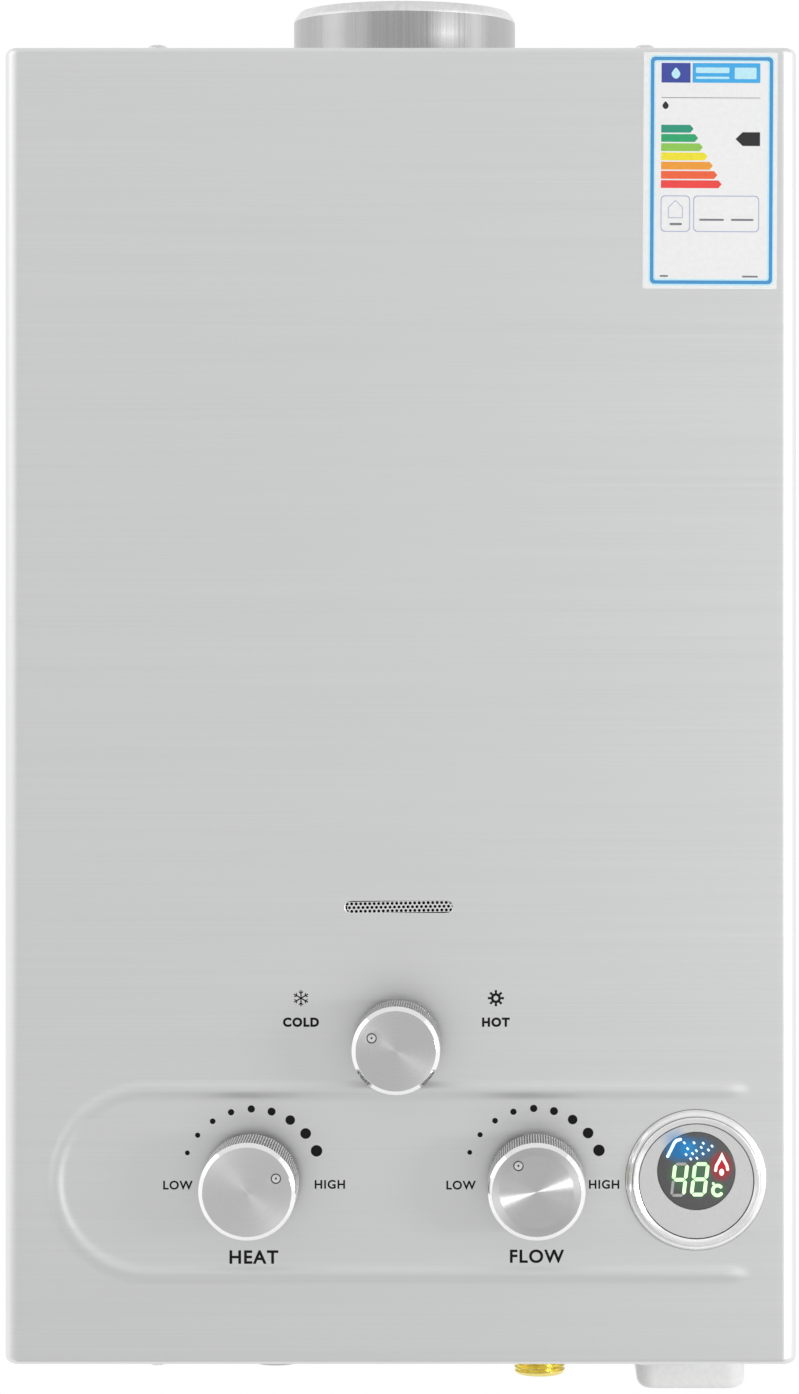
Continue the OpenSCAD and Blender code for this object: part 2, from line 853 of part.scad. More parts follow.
// Water pipe wrapped twice round the shell, from the cold pipe to the first exchanger tube
module jacket_coil() {
    route = [
        [pipe_x, axis_y, shell_z], [pipe_x, axis_y, wrap_z], [pipe_x, wrap_front, wrap_z],
        [-pipe_x, wrap_front, wrap_z], [-pipe_x, wrap_back, wrap_z], [pipe_x, wrap_back, wrap_z],
        [pipe_x, wrap_back, wrap_top], [pipe_x, wrap_front, wrap_top],
        [riser_x, wrap_front, wrap_top], [riser_x, tube_y(0), wrap_top],
        [riser_x, tube_y(0), tube_z], [-tube_end, tube_y(0), tube_z]
    ];
    color("chocolate") pipe(route, pipe_d, pipe_wall, pipe_bend);
}

module overheat_cutout() {
    x = -shell_w / 2;
    z = (wrap_top + tube_z) / 2;
    disc_r = 8;
    disc_t = 6;
    tab_l = 8;
    tab_h = 6;
    tab_t = 0.8;
    tab_y = 4;
    color("dimgray") {
        bar_x(axis_y, z, x - disc_t, x, disc_r);
        for (s = [-1, 1])
            block([x - disc_t - tab_l, axis_y + s * tab_y - tab_t / 2, z - tab_h / 2],
                  [x - disc_t, axis_y + s * tab_y + tab_t / 2, z + tab_h / 2]);
    }
}

// Burner

// Side view of a bar: slotted top, waist, and a throat that opens at the lower front
module bar_outline() {
    l = bar_l;
    h = bar_h;
    heel = h * 0.35;
    neck_l = l * 0.06;
    neck_z = h * 0.7;
    mouth_l = l * 0.2;
    mouth_h = h * 0.58;
    port_w = 1.5;
    port_in = 4;
    waist = [l * 0.3, h * 0.5, l * 0.5, h * 0.1];
    step = (l - 3 * port_in) / port_n;
    translate([bar_front, bar_z]) difference() {
        polygon([
            [0, 0], [bar_foot, 0], [l, heel], [l, h], [neck_l, h],
            [neck_l, neck_z], [mouth_l, mouth_h], [0, mouth_h]
        ]);
        for (i = [0 : port_n - 1])
            translate([neck_l + port_in + i * step, h - port_in]) square([port_w, port_in + cut]);
        translate([waist[0], waist[1]]) square([waist[2], waist[3]]);
    }
}

module burner_bars() {
    throat_l = bar_l / 4;
    color("slategray") for (i = [0 : bar_n - 1]) {
        x = (i - (bar_n - 1) / 2) * bar_pitch;
        difference() {
            draw_x(x - bar_w / 2, x + bar_w / 2) bar_outline();
            bar_y(x, throat_z, bar_front - cut, bar_front + throat_l, bar_w / 2 - bar_wall);
        }
    }
}

// Two cheeks fixed to the back plate, with rails under the bars; the shell stands on the cheeks
module burner_frame() {
    tip = manifold_front;
    cheek_drop = 5;
    rail_in = 4;
    color("gray") {
        for (x = [-cheek_in - cheek_t, cheek_in]) draw_x(x, x + cheek_t)
            polygon([
                [room_back, cheek_z], [tip, cheek_z], [tip, manifold_z + manifold_s],
                [shell_front, bar_top - cheek_drop], [shell_front, shell_z], [room_back, shell_z]
            ]);
        for (y = [bar_front + rail_in, bar_front + bar_foot - rail_w - rail_in])
            block([-cheek_in - cheek_t / 2, y, cheek_z], [cheek_in + cheek_t / 2, y + rail_w, bar_z]);
    }
}

module gas_manifold() {
    end_t = 3;
    wall = 2;
    color("darkgray") difference() {
        block([-cheek_in, manifold_front, manifold_z], [cheek_in, manifold_back, manifold_z + manifold_s]);
        bar_x((manifold_front + manifold_back) / 2, throat_z, -cheek_in + end_t, cheek_in - end_t,
              manifold_s / 2 - wall);
    }
}

module injector_nozzles() {
    gap = 3;
    tip = manifold_gap - gap;
    shoulder = tip * 0.7;
    tip_r = 1.2;
    jet_r = 0.4;
    color("gold") for (i = [0 : bar_n - 1])
        translate([(i - (bar_n - 1) / 2) * bar_pitch, manifold_back, throat_z]) rotate([-90, 0, 0])
            rotate_extrude() polygon([
                [jet_r, 0], [nozzle_d / 2, 0], [nozzle_d / 2, shoulder], [tip_r, tip], [jet_r, tip]
            ]);
}

module electrode_bracket() {
    side = 10;
    below = 8;
    above = 20;
    color("gray") difference() {
        block([spark_x - side, shell_front - cheek_t, probe_z - below],
              [flame_x + side, shell_front, shell_z + above]);
        for (x = [spark_x, flame_x])
            bar_y(x, probe_z, shell_front - cheek_t - cut, shell_front + cut, probe_r + run_gap);
    }
}

// Ceramic sleeve with a metal tip
module probe(x, reach) {
    tip_r = 0.8;
    bar_y(x, probe_z, probe_front, probe_back, probe_r);
    bar_y(x, probe_z, probe_back, probe_back + reach, tip_r);
}

module spark_electrode() {
    reach = 10;
    color("white") probe(spark_x, reach);
}

module flame_probe() {
    reach = 22;
    color("white") probe(flame_x, reach);
}

module spark_lead() {
    end_x = igniter_x + igniter_w / 4;
    route = [
        [spark_x, probe_front, probe_z], [spark_x, lead_y, probe_z], [spark_x, lead_y, lead_z],
        [end_x, lead_y, lead_z], [end_x, igniter_front, lead_z]
    ];
    color("firebrick") bent_rod(route, lead_r, lead_bend);
}

module pulse_igniter() {
    corner = 3;
    color("black") translate([igniter_x, igniter_front, igniter_z]) rotate([-90, 0, 0])
        linear_extrude(height = igniter_d) round_rect(igniter_w, igniter_h, corner);
}

// Gas train

module gas_valve_body() {
    x0 = gas_right - gas_w;
    top = valve_z + gas_h;
    front = axis_y - gas_d / 2;
    corner = 6;
    boss = 12;
    stem_depth = 8;
    rod_depth = 20;
    inlet_depth = 16;
    notch_w = 16;
    notch_d = 6;
    color("darkgray") difference() {
        union() {
            translate([0, 0, valve_z]) linear_extrude(height = gas_h)
                translate([gas_x, axis_y]) round_rect(gas_w, gas_d, corner);
            bar_y(gas_x, knob_z, front - boss, front + cut, boss_r);
            bar_x(axis_y, rod_z, gas_right - cut, gas_right + rod_boss, rod_d);
        }
        bar_y(gas_x, knob_z, front - boss - cut, front + stem_depth, stem_r + run_gap);
        bar_x(axis_y, rod_z, gas_right - rod_depth, gas_right + rod_boss + cut, rod_r + run_gap);
        bar_z(gas_x, axis_y - gas_d / 4, top - rod_depth, top + cut, feed_d / 2 - pipe_wall);
        bar_z(gas_inlet_x, axis_y, valve_z - cut, valve_z + inlet_depth, thread_bore / 2);
        block([x0 - cut, axis_y - notch_w / 2, top - notch_w],
              [x0 + notch_d, axis_y + notch_w / 2, top + cut]);
    }
}

module gas_solenoid() {
    x = gas_right - gas_w;
    coil_l = 18;
    coil_r = 11;
    cap_l = 4;
    cap_r = 5;
    color("goldenrod") {
        bar_x(axis_y, rod_z, x - coil_l, x, coil_r);
        bar_x(axis_y, rod_z, x - coil_l - cap_l, x - coil_l, cap_r);
    }
}

// Threaded connection through the frame's floor: hexagon on the floor, neck up to the valve
module connection(x, y, drop, top) {
    shoulder = plate_floor - sheet / 2;
    difference() {
        union() {
            bar_z(x, y, base_z - drop, shoulder, thread_d / 2);
            bar_z(x, y, shoulder - weld, room_floor + weld, thread_d / 2 + pass_gap / 2);
            translate([x, y, room_floor]) linear_extrude(height = hex_h) hexagon(thread_d + hex_more);
            bar_z(x, y, room_floor + hex_h - weld, top, thread_d / 2 - neck_less);
        }
        bar_z(x, y, base_z - drop - cut, top + cut, thread_bore / 2);
    }
}

module gas_inlet() {
    color("gray") connection(gas_inlet_x, axis_y, gas_drop, valve_z);
}

module gas_feed_pipe() {
    y0 = axis_y - gas_d / 4;
    y1 = (manifold_front + manifold_back) / 2;
    z0 = valve_z + gas_h;
    z1 = (z0 + manifold_z) / 2;
    route = [[gas_x, y0, z0], [gas_x, y0, z1], [gas_x, y1, z1], [gas_x, y1, manifold_z]];
    color("silver") pipe(route, feed_d, pipe_wall, pipe_bend);
}

module season_valve_body() {
    half = 14;
    below = 15;
    depth = manifold_s + 6;
    end_t = 4;
    color("darkgray") difference() {
        block([season_x - half, manifold_front, season_z - below],
              [season_x + half, manifold_front + depth, manifold_z]);
        bar_y(season_x, season_z, manifold_front - cut, manifold_front + depth - end_t, stem_r + run_gap);
    }
}

// Water train

// Bolt positions round the diaphragm housing
module at_housing_bolts(x) {
    for (a = [45 : 90 : 315])
        translate([x, axis_y, rod_z]) rotate([a, 0, 0]) translate([0, 0, dia_d / 2 - bolt_in])
            rotate([0, 90, 0]) children();
}

module water_valve_body() {
    r = water_d / 2;
    boss = 24;
    front = axis_y - r - boss;
    stem_depth = 20;
    cap_t = 4;
    relief_r = 8;
    color("goldenrod") difference() {
        union() {
            bar_z(cold_x, axis_y, valve_z, valve_z + water_h, r);
            bar_x(axis_y, rod_z, dia_x, cold_x - r / 2, dia_d / 2);
            bar_x(axis_y, port_z, cold_x, port_x, port_r);
            bar_y(water_x, knob_z, front, axis_y, boss_r);
            bar_y(cold_x, valve_z + relief_up, axis_y, axis_y + r + relief_boss, relief_r);
        }
        bar_z(cold_x, axis_y, valve_z - cut, valve_z + water_h - cap_t, thread_bore / 2);
        bar_x(axis_y, port_z, cold_x, port_x + cut, pipe_d / 2 - pipe_wall);
        bar_x(axis_y, rod_z, dia_x - cut, dia_x + plate_room, plate_d / 2 + plate_room);
        bar_y(water_x, knob_z, front - cut, front + stem_depth, stem_r + run_gap);
        at_housing_bolts(dia_x - cut) cylinder(h = bolt_end + cut, d = bolt_d + 2 * run_gap);
    }
}

module diaphragm() {
    color("black") difference() {
        bar_x(axis_y, rod_z, dia_x - dia_t, dia_x, dia_d / 2);
        at_housing_bolts(dia_x - dia_t - cut) cylinder(h = dia_t + 2 * cut, d = bolt_d + 2 * run_gap);
    }
}

module diaphragm_cover() {
    wall = 2;
    color("goldenrod") difference() {
        bar_x(axis_y, rod_z, cover_x, dia_x - dia_t, dia_d / 2);
        bar_x(axis_y, rod_z, cover_x + wall, dia_x - dia_t + cut, plate_d / 2 + plate_room);
        bar_x(axis_y, rod_z, cover_x - cut, cover_x + wall + cut, rod_r + run_gap);
        at_housing_bolts(cover_x - cut) cylinder(h = dia_half + 2 * cut, d = bolt_d + 2 * run_gap);
    }
}

module diaphragm_screws() {
    head_h = 2.5;
    head_d = 7;
    grip = dia_half + dia_t + bolt_end - cut;
    color("silver") at_housing_bolts(cover_x) {
        translate([0, 0, -head_h]) cylinder(h = head_h, d = head_d);
        cylinder(h = grip, d = bolt_d);
    }
}

// Rod from the diaphragm's plate into the gas valve, with the collar that works the switch
module push_rod() {
    gap = 0.1;
    reach = 14;
    plate_x = dia_x - dia_t - gap;
    color("silver") {
        bar_x(axis_y, rod_z, plate_x - plate_t, plate_x, plate_d / 2);
        bar_x(axis_y, rod_z, gas_right - reach, plate_x, rod_r);
        bar_x(axis_y, rod_z, collar_x, collar_x + collar_t, collar_r);
    }
}

// Point on the return spring at turn t, counted from the gas valve
spring_x0 = gas_right + rod_boss + spring_wire;
spring_x1 = collar_x - spring_wire;
function spring_at(t) = [
    spring_x0 + (spring_x1 - spring_x0) * t / spring_n,
    axis_y + spring_d / 2 * cos(360 * t),
    rod_z + spring_d / 2 * sin(360 * t)
];

// Skin of a wire that follows a list of centres, with a ring of sides square to the route
module wire(pts, r, sides) {
    n = len(pts);
    rings = [
        for (i = [0 : n - 1])
            let (
                d = heading(pts[max(i - 1, 0)], pts[min(i + 1, n - 1)]),
                u = cross(d, [1, 0, 0]) / norm(cross(d, [1, 0, 0])),
                v = cross(d, u)
            )
            for (k = [0 : sides - 1])
                pts[i] + r * (cos(360 * k / sides) * u + sin(360 * k / sides) * v)
    ];
    skin = [
        for (i = [0 : n - 2], k = [0 : sides - 1], half = [0, 1])
            let (
                a = i * sides + k,
                b = i * sides + (k + 1) % sides
            )
            half == 0 ? [a, b, b + sides] : [a, b + sides, a + sides]
    ];
    ends = [
        for (k = [1 : sides - 2], end = [0, 1])
            end == 0 ? [0, k + 1, k] : [(n - 1) * sides, (n - 1) * sides + k, (n - 1) * sides + k + 1]
    ];
    polyhedron(points = rings, faces = concat(skin, ends));
}

module return_spring() {
    curl_rings = 8;
    sides = 6;
    pts = [for (i = [0 : spring_n * curl_rings]) spring_at(i / curl_rings)];
    gaps = [
        for (i = [0 : len(pts) - 1], j = [i + curl_rings / 2 : 1 : len(pts) - 1])
            norm(pts[j] - pts[i]) - spring_wire
    ];
    echo(return_spring_least_gap = min(gaps));
    color("silver") wire(pts, spring_wire / 2, sides);
}

module switch_bracket() {
    t = cheek_t;
    z = switch_z + switch_h;
    foot = 6;
    color("gray") {
        block([switch_x - switch_l, axis_y - switch_w / 2, z], [cover_x, axis_y + switch_w / 2, z + t]);
        block([cover_x - t, axis_y - switch_w / 2, z - foot], [cover_x, axis_y + switch_w / 2, z + t]);
    }
}

module microswitch() {
    bore_end = switch_x - plunger_in - rod_travel - pass_gap;
    color("black") difference() {
        block([switch_x - switch_l, axis_y - switch_w / 2, switch_z],
              [switch_x, axis_y + switch_w / 2, switch_z + switch_h]);
        bar_x(axis_y, rod_z + plunger_dz, bore_end, switch_x + cut, plunger_r + run_gap);
    }
}

module switch_plunger() {
    color("red")
        bar_x(axis_y, rod_z + plunger_dz, switch_x - plunger_in, switch_x + plunger_out, plunger_r);
}

module relief_valve() {
    body_r = 7;
    body_l = 12;
    cap_af = 14;
    cap_t = 4;
    y = axis_y + water_d / 2 + relief_boss;
    z = valve_z + relief_up;
    color("gold") {
        bar_y(cold_x, z, y, y + body_l, body_r);
        translate([cold_x, y + body_l + cap_t, z]) rotate([90, 0, 0])
            linear_extrude(height = cap_t) hexagon(cap_af);
    }
}

module cold_inlet() {
    color("gold") connection(cold_x, axis_y, cold_drop, valve_z);
}

module hot_outlet() {
    color("gold") connection(hot_x, hot_y, hot_drop, hot_top);
}

// Flared collar at the start of a pipe that goes up from the origin
module flare() {
    difference() {
        cylinder(h = flare_t, r = flare_r);
        translate([0, 0, -cut]) cylinder(h = flare_t + 2 * cut, r = pipe_d / 2 - pipe_wall);
    }
}

module cold_pipe() {
    x = port_x + washer_t;
    route = [[x, axis_y, port_z], [pipe_x, axis_y, port_z], [pipe_x, axis_y, shell_z]];
    color("chocolate") {
        pipe(route, pipe_d, pipe_wall, pipe_bend);
        translate([x, axis_y, port_z]) rotate([0, 90, 0]) flare();
    }
}

module hot_pipe() {
    z = hot_top + washer_t;
    route = [[-tube_end, hot_y, tube_z], [hot_x, hot_y, tube_z], [hot_x, hot_y, z]];
    color("chocolate") {
        pipe(route, pipe_d, pipe_wall, pipe_bend);
        translate([hot_x, hot_y, z]) flare();
    }
}

// Nut that draws a flare down on a joint at the origin; the joint's thread lies below it
module union_nut(thread_r) {
    seat = washer_t + flare_t;
    difference() {
        translate([0, 0, -nut_below]) linear_extrude(height = nut_l) hexagon(nut_af);
        translate([0, 0, -nut_below - cut]) cylinder(h = nut_below + cut + seat, r = thread_r + fit_gap);
        cylinder(h = nut_l, r = pipe_d / 2 + fit_gap);
    }
}

module union_nuts() {
    color("gold") {
        translate([port_x, axis_y, port_z]) rotate([0, 90, 0]) union_nut(port_r);
        translate([hot_x, hot_y, hot_top]) union_nut(thread_d / 2 - neck_less);
    }
}

module washer() {
    difference() {
        cylinder(h = washer_t, r = flare_r);
        translate([0, 0, -cut]) cylinder(h = washer_t + 2 * cut, r = pipe_d / 2 - pipe_wall);
    }
}

module seal_washers() {
    color("maroon") {
        translate([port_x, axis_y, port_z]) rotate([0, 90, 0]) washer();
        translate([hot_x, hot_y, hot_top]) washer();
    }
}

// Display

module display_bezel() {
    step_h = 3;
    bevel = 1;
    color("silver") on_panel(display_x, display_z) rotate_extrude() difference() {
        union() {
            polygon([
                [bezel_seat_r, 0], [bezel_d / 2, 0], [bezel_d / 2, step_h - bevel],
                [bezel_d / 2 - bevel, step_h], [bezel_step_d / 2, step_h],
                [bezel_step_d / 2, bezel_h - bevel], [bezel_step_d / 2 - bevel, bezel_h],
                [bezel_seat_r, bezel_h]
            ]);
            translate([bezel_seat_r, -module_d]) square([bezel_spigot_r - bezel_seat_r, module_d]);
        }
        translate([0, face_back]) square([bezel_bore / 2, bezel_h]);
    }
}

module display_face() {
    color("gainsboro") on_panel(display_x, display_z) translate([0, 0, face_back])
        linear_extrude(height = face_t) difference() {
            circle(d = bezel_bore - 2 * fit_gap);
            translate([0, lens_up]) circle(d = lens_d + 2 * fit_gap);
        }
}

module display_lens() {
    color("black") on_panel(display_x, display_z + lens_up) translate([0, 0, face_back])
        cylinder(h = face_t, d = lens_d);
}

module display_module() {
    r = bezel_seat_r - fit_gap;
    puck_t = 8;
    board_w = r * 1.3;
    board_h = r * 1.1;
    corner = 1;
    color("darkgreen") on_panel(display_x, display_z) {
        translate([0, 0, face_back - puck_t]) cylinder(h = puck_t, r = r);
        translate([0, 0, -module_d]) linear_extrude(height = module_d + face_back - puck_t + cut)
            round_rect(board_w, board_h, corner);
    }
}

// Battery box

// Plan of the battery box at z = 0, drawn in by inset
module box_plan(inset) {
    translate([battery_x, box_y]) round_rect(box_w - 2 * inset, box_d - 2 * inset, box_r - inset / 2);
}

module battery_box() {
    rim_more = 0.5;
    rim_h = box_r + rim_more;
    lip = 3;
    lip_t = 2;
    pin_half = door_w / 2 + pin_room;
    color("white") difference() {
        union() {
            intersection() {
                translate([0, 0, box_z]) linear_extrude(height = box_top - box_z) box_plan(0);
                draw_x(battery_x - box_w, battery_x + box_w)
                    box_section(box_y - box_d / 2, box_y + box_d / 2);
                draw_y(box_y - box_d, box_y + box_d)
                    box_section(battery_x - box_w / 2, battery_x + box_w / 2);
            }
            translate([0, 0, room_floor]) linear_extrude(height = lip_t) box_plan(-lip);
        }
        translate([0, 0, box_z + rim_h]) linear_extrude(height = box_top - box_wall - box_z - rim_h)
            box_plan(box_wall);
        block([battery_x - door_w / 2, box_y - door_d / 2, box_z - cut],
              [battery_x + door_w / 2, box_y + door_d / 2, box_z + rim_h + cut]);
        bar_x(hinge_y, hinge_z, battery_x - pin_half, battery_x + pin_half, hinge_d / 2 + run_gap);
    }
}

// Section of the box with round lower edges, from a to b
module box_section(a, b) {
    translate([a, box_z + box_r]) square([b - a, box_top - box_z]);
    translate([a + box_r, box_z]) square([b - a - 2 * box_r, 2 * box_r]);
    for (x = [a + box_r, b - box_r]) translate([x, box_z + box_r]) circle(r = box_r);
}

// Lid in the box's lower opening, on a hinge pin along its rear edge
module battery_lid() {
    x0 = battery_x - door_w / 2 + lid_gap;
    x1 = battery_x + door_w / 2 - lid_gap;
    front = box_y - door_d / 2 + lid_gap;
    catch_half = 6;
    catch_in = 0.5;
    catch_t = 1.5;
    catch_h = 3;
    thumb_r = 7;
    thumb_depth = 0.6;
    pin_more = lid_gap + pin_end;
    color("whitesmoke") {
        difference() {
            union() {
                block([x0, front, box_z], [x1, hinge_y, box_z + lid_t]);
                bar_x(hinge_y, hinge_z, x0, x1, lid_t / 2);
            }
            translate([battery_x, front, box_z - thumb_depth]) cylinder(h = 2 * thumb_depth, r = thumb_r);
        }
        bar_x(hinge_y, hinge_z, x0 - pin_more, x1 + pin_more, hinge_d / 2);
        block([battery_x - catch_half, front + catch_in, box_z + lid_t - weld],
              [battery_x + catch_half, front + catch_in + catch_t, box_z + lid_t + catch_h]);
    }
}

// Two cells side by side, one of them upside down
module battery_cells() {
    nub_h = 1.5;
    nub_r = 4.7;
    bottom = cell_top - cell_h;
    color("dimgray") for (s = [0, 1]) translate([battery_x, box_y + (s - 1 / 2) * cell_pitch, 0]) {
        translate([0, 0, bottom + s * nub_h]) cylinder(h = cell_h - nub_h, d = cell_d);
        translate([0, 0, s == 0 ? cell_top - nub_h : bottom]) cylinder(h = nub_h, r = nub_r);
    }
}

module box_contacts() {
    w = 16;
    d = 12;
    corner = 2;
    color("silver") for (s = [-1, 1]) translate([battery_x, box_y + s * cell_pitch / 2, cell_top])
        linear_extrude(height = contact_t) round_rect(w, d, corner);
}

// Bowed strip on the lid that bridges the two cells
module lid_contact() {
    z0 = box_z + lid_t;
    gap = 0.3;
    z1 = cell_top - cell_h - gap;
    half = cell_pitch / 2;
    t = contact_t;
    strip_w = 10;
    strip_end = 6;
    foot = 5;
    top = 2;
    color("silver") draw_x(battery_x - strip_w / 2, battery_x + strip_w / 2) translate([box_y, 0]) {
        translate([-half - strip_end, z0]) square([2 * (half + strip_end), t]);
        for (s = [-1, 1]) translate([s * half, 0]) polygon([
            [-foot, z0], [-top, z1 - t], [top, z1 - t], [foot, z0],
            [foot + t, z0], [top + t, z1], [-top - t, z1], [-foot - t, z0]
        ]);
    }
}

module battery_lead() {
    in_box = 20;
    off_wall = 7;
    below = igniter_h / 3;
    y0 = box_y + in_box;
    y1 = room_back - off_wall;
    z = igniter_z - below;
    route = [
        [battery_x, y0, box_top], [battery_x, y0, z], [battery_x, y1, z],
        [igniter_x + igniter_w / 2, y1, z]
    ];
    color("crimson") bent_rod(route, lead_r, lead_bend);
}

// Knobs

// Ribbed round of radius r
module ribbed(r) {
    polygon([
        for (i = [0 : 2 * knurl_n - 1])
            (r - (i % 2) * knurl_depth) * [cos(180 * i / knurl_n), sin(180 * i / knurl_n)]
    ]);
}

// Metal cap of diameter d, open at the back, with its pointer dimple at an angle
module knob_cap(d, at) {
    r = d / 2;
    land_r = r - knurl_depth - knurl_land;
    side = knob_h - knob_chamfer;
    translate([0, 0, knob_gap]) difference() {
        union() {
            linear_extrude(height = side) ribbed(r);
            translate([0, 0, side]) cylinder(h = knob_chamfer, r1 = land_r, r2 = land_r - knob_chamfer);
        }
        translate([0, 0, -cut]) cylinder(h = knob_h - knob_wall + cut, r = r - knob_wall - knurl_depth);
        rotate(at) translate([r - dimple_in, 0, knob_h - dimple_depth])
            cylinder(h = dimple_depth + cut, d = dimple_d);
    }
}

// Plastic core that fills the cap and grips the stem
module knob_core(d) {
    r = d / 2 - knob_wall - knurl_depth - run_gap;
    l = knob_h - knob_wall - core_in;
    translate([0, 0, knob_gap + core_in]) difference() {
        cylinder(h = l, r = r);
        translate([0, 0, -cut]) cylinder(h = l - core_end + cut, r = stem_r + run_gap);
    }
}

// Stem from the core back to y = end
module stem(x, z, end) {
    tip = front_y - knob_gap - knob_h + knob_wall + core_end + fit_gap;
    bar_y(x, z, tip, end, stem_r);
}

module gas_knob() {
    color("silver") on_panel(gas_x, knob_z) knob_cap(knob_d, gas_at);
}

module gas_knob_core() {
    color("dimgray") on_panel(gas_x, knob_z) knob_core(knob_d);
}

module gas_stem() {
    color("gold") stem(gas_x, knob_z, axis_y - gas_d / 2 + stem_in);
}

module water_knob() {
    color("silver") on_panel(water_x, knob_z) knob_cap(knob_d, water_at);
}

module water_knob_core() {
    color("dimgray") on_panel(water_x, knob_z) knob_core(knob_d);
}

module water_stem() {
    color("gold") stem(water_x, knob_z, axis_y - water_d / 2 - stem_short);
}

module season_knob() {
    color("silver") on_panel(season_x, season_z) knob_cap(season_knob_d, season_at);
}

module season_knob_core() {
    color("dimgray") on_panel(season_x, season_z) knob_core(season_knob_d);
}

module season_stem() {
    color("gold") stem(season_x, season_z, manifold_front + manifold_s);
}

front_cover();
rear_frame();
cover_screws();
viewing_grille();
flue_collar();
draught_hood();
combustion_shell();
exchanger_fins();
exchanger_tubes();
jacket_coil();
overheat_cutout();
burner_bars();
burner_frame();
gas_manifold();
injector_nozzles();
electrode_bracket();
spark_electrode();
flame_probe();
spark_lead();
pulse_igniter();
gas_valve_body();
gas_solenoid();
gas_inlet();
gas_feed_pipe();
season_valve_body();
water_valve_body();
diaphragm();
diaphragm_cover();
diaphragm_screws();
push_rod();
return_spring();
switch_bracket();
microswitch();
switch_plunger();
relief_valve();
cold_inlet();
cold_pipe();
hot_pipe();
hot_outlet();
union_nuts();
seal_washers();
display_bezel();
display_face();
display_lens();
display_module();
battery_box();
battery_lid();
battery_cells();
box_contacts();
lid_contact();
battery_lead();
gas_knob();
gas_knob_core();
gas_stem();
water_knob();
water_knob_core();
water_stem();
season_knob();
season_knob_core();
season_stem();
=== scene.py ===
# %% [markdown]
# # A wall-hung tankless water heater, dressed in Blender
# The solid model gives every piece its place and size. This lesson loads that model, keeps its
# box, and then works through the heater from the outside in: camera and light, the folded steel
# cover, the printed marks, the knobs, the round display, the flue, the underside and the works.

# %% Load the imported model
import bpy
import bmesh
import json
import math
import numpy as np
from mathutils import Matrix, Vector

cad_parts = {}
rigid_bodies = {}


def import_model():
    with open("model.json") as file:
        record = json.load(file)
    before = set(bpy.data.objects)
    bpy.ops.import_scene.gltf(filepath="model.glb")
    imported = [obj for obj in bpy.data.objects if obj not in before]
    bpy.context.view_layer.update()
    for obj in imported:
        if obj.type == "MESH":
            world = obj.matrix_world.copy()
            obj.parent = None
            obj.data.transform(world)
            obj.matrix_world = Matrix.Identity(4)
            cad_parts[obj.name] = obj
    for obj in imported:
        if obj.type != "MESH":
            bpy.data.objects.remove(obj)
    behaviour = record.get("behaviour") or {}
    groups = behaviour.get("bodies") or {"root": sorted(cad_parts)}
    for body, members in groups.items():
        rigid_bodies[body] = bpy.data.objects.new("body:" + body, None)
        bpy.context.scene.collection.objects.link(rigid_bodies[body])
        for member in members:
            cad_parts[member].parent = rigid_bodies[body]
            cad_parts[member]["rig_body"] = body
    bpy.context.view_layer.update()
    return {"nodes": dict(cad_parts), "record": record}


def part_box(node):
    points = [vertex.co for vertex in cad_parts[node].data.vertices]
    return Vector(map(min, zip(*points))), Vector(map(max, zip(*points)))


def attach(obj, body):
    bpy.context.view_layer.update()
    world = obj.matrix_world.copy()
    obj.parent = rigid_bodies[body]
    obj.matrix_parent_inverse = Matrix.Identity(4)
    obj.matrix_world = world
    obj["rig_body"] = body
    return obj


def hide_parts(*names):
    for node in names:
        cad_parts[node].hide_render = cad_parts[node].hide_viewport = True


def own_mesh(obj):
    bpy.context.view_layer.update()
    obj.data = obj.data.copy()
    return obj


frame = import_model()
MM = 0.001

# %% [markdown]
# A surface here is a function of two parameters: whole arrays of points on a grid, and four
# corners for each cell. Blender could also spin or extrude a curve, but arrays keep the formula
# in sight. A piece is a list of such grids, welded where their edges meet, so seams and poles close.

# %% Grids and welded pieces
def cells(rows, cols, wrap, turn):
    """Corner numbers of each cell of a rows x cols grid; wrap joins the last column to the first."""
    i = np.arange(rows - 1)[:, None]
    j = np.arange(cols if wrap else cols - 1)[None, :]
    a, b = i * cols + j, i * cols + (j + 1) % cols
    quads = np.stack([a, b, b + cols, a + cols], -1).reshape(-1, 4)
    return quads[:, ::-1] if turn else quads


def sheet_of(x, y, z, wrap=True, turn=False):
    """One grid in millimetres: three arrays of the same shape become points in metres and cells."""
    x, y, z = np.broadcast_arrays(x, y, z)
    points = np.stack([x, y, z], -1).reshape(-1, 3) * MM
    return points, cells(x.shape[0], x.shape[1], wrap, turn)


def mesh_of(name, grids, kinds=None):
    """All grids in one mesh; kinds gives each grid's material number. Loops are set as whole arrays."""
    shift = np.cumsum([0] + [len(p) for p, _ in grids])
    points = np.concatenate([p for p, _ in grids])
    quads = np.concatenate([q + s for (_, q), s in zip(grids, shift)])
    mesh = bpy.data.meshes.new(name)
    mesh.vertices.add(len(points))
    mesh.vertices.foreach_set("co", points.astype(np.float32).ravel())
    mesh.loops.add(quads.size)
    mesh.loops.foreach_set("vertex_index", quads.astype(np.int32).ravel())
    mesh.polygons.add(len(quads))
    mesh.polygons.foreach_set("loop_start", np.arange(0, quads.size, 4, dtype=np.int32))
    if kinds is not None:
        index = np.concatenate([np.full(len(q), k) for (_, q), k in zip(grids, kinds)])
        mesh.polygons.foreach_set("material_index", index.astype(np.int32))
    mesh.update(calc_edges=True)
    return mesh


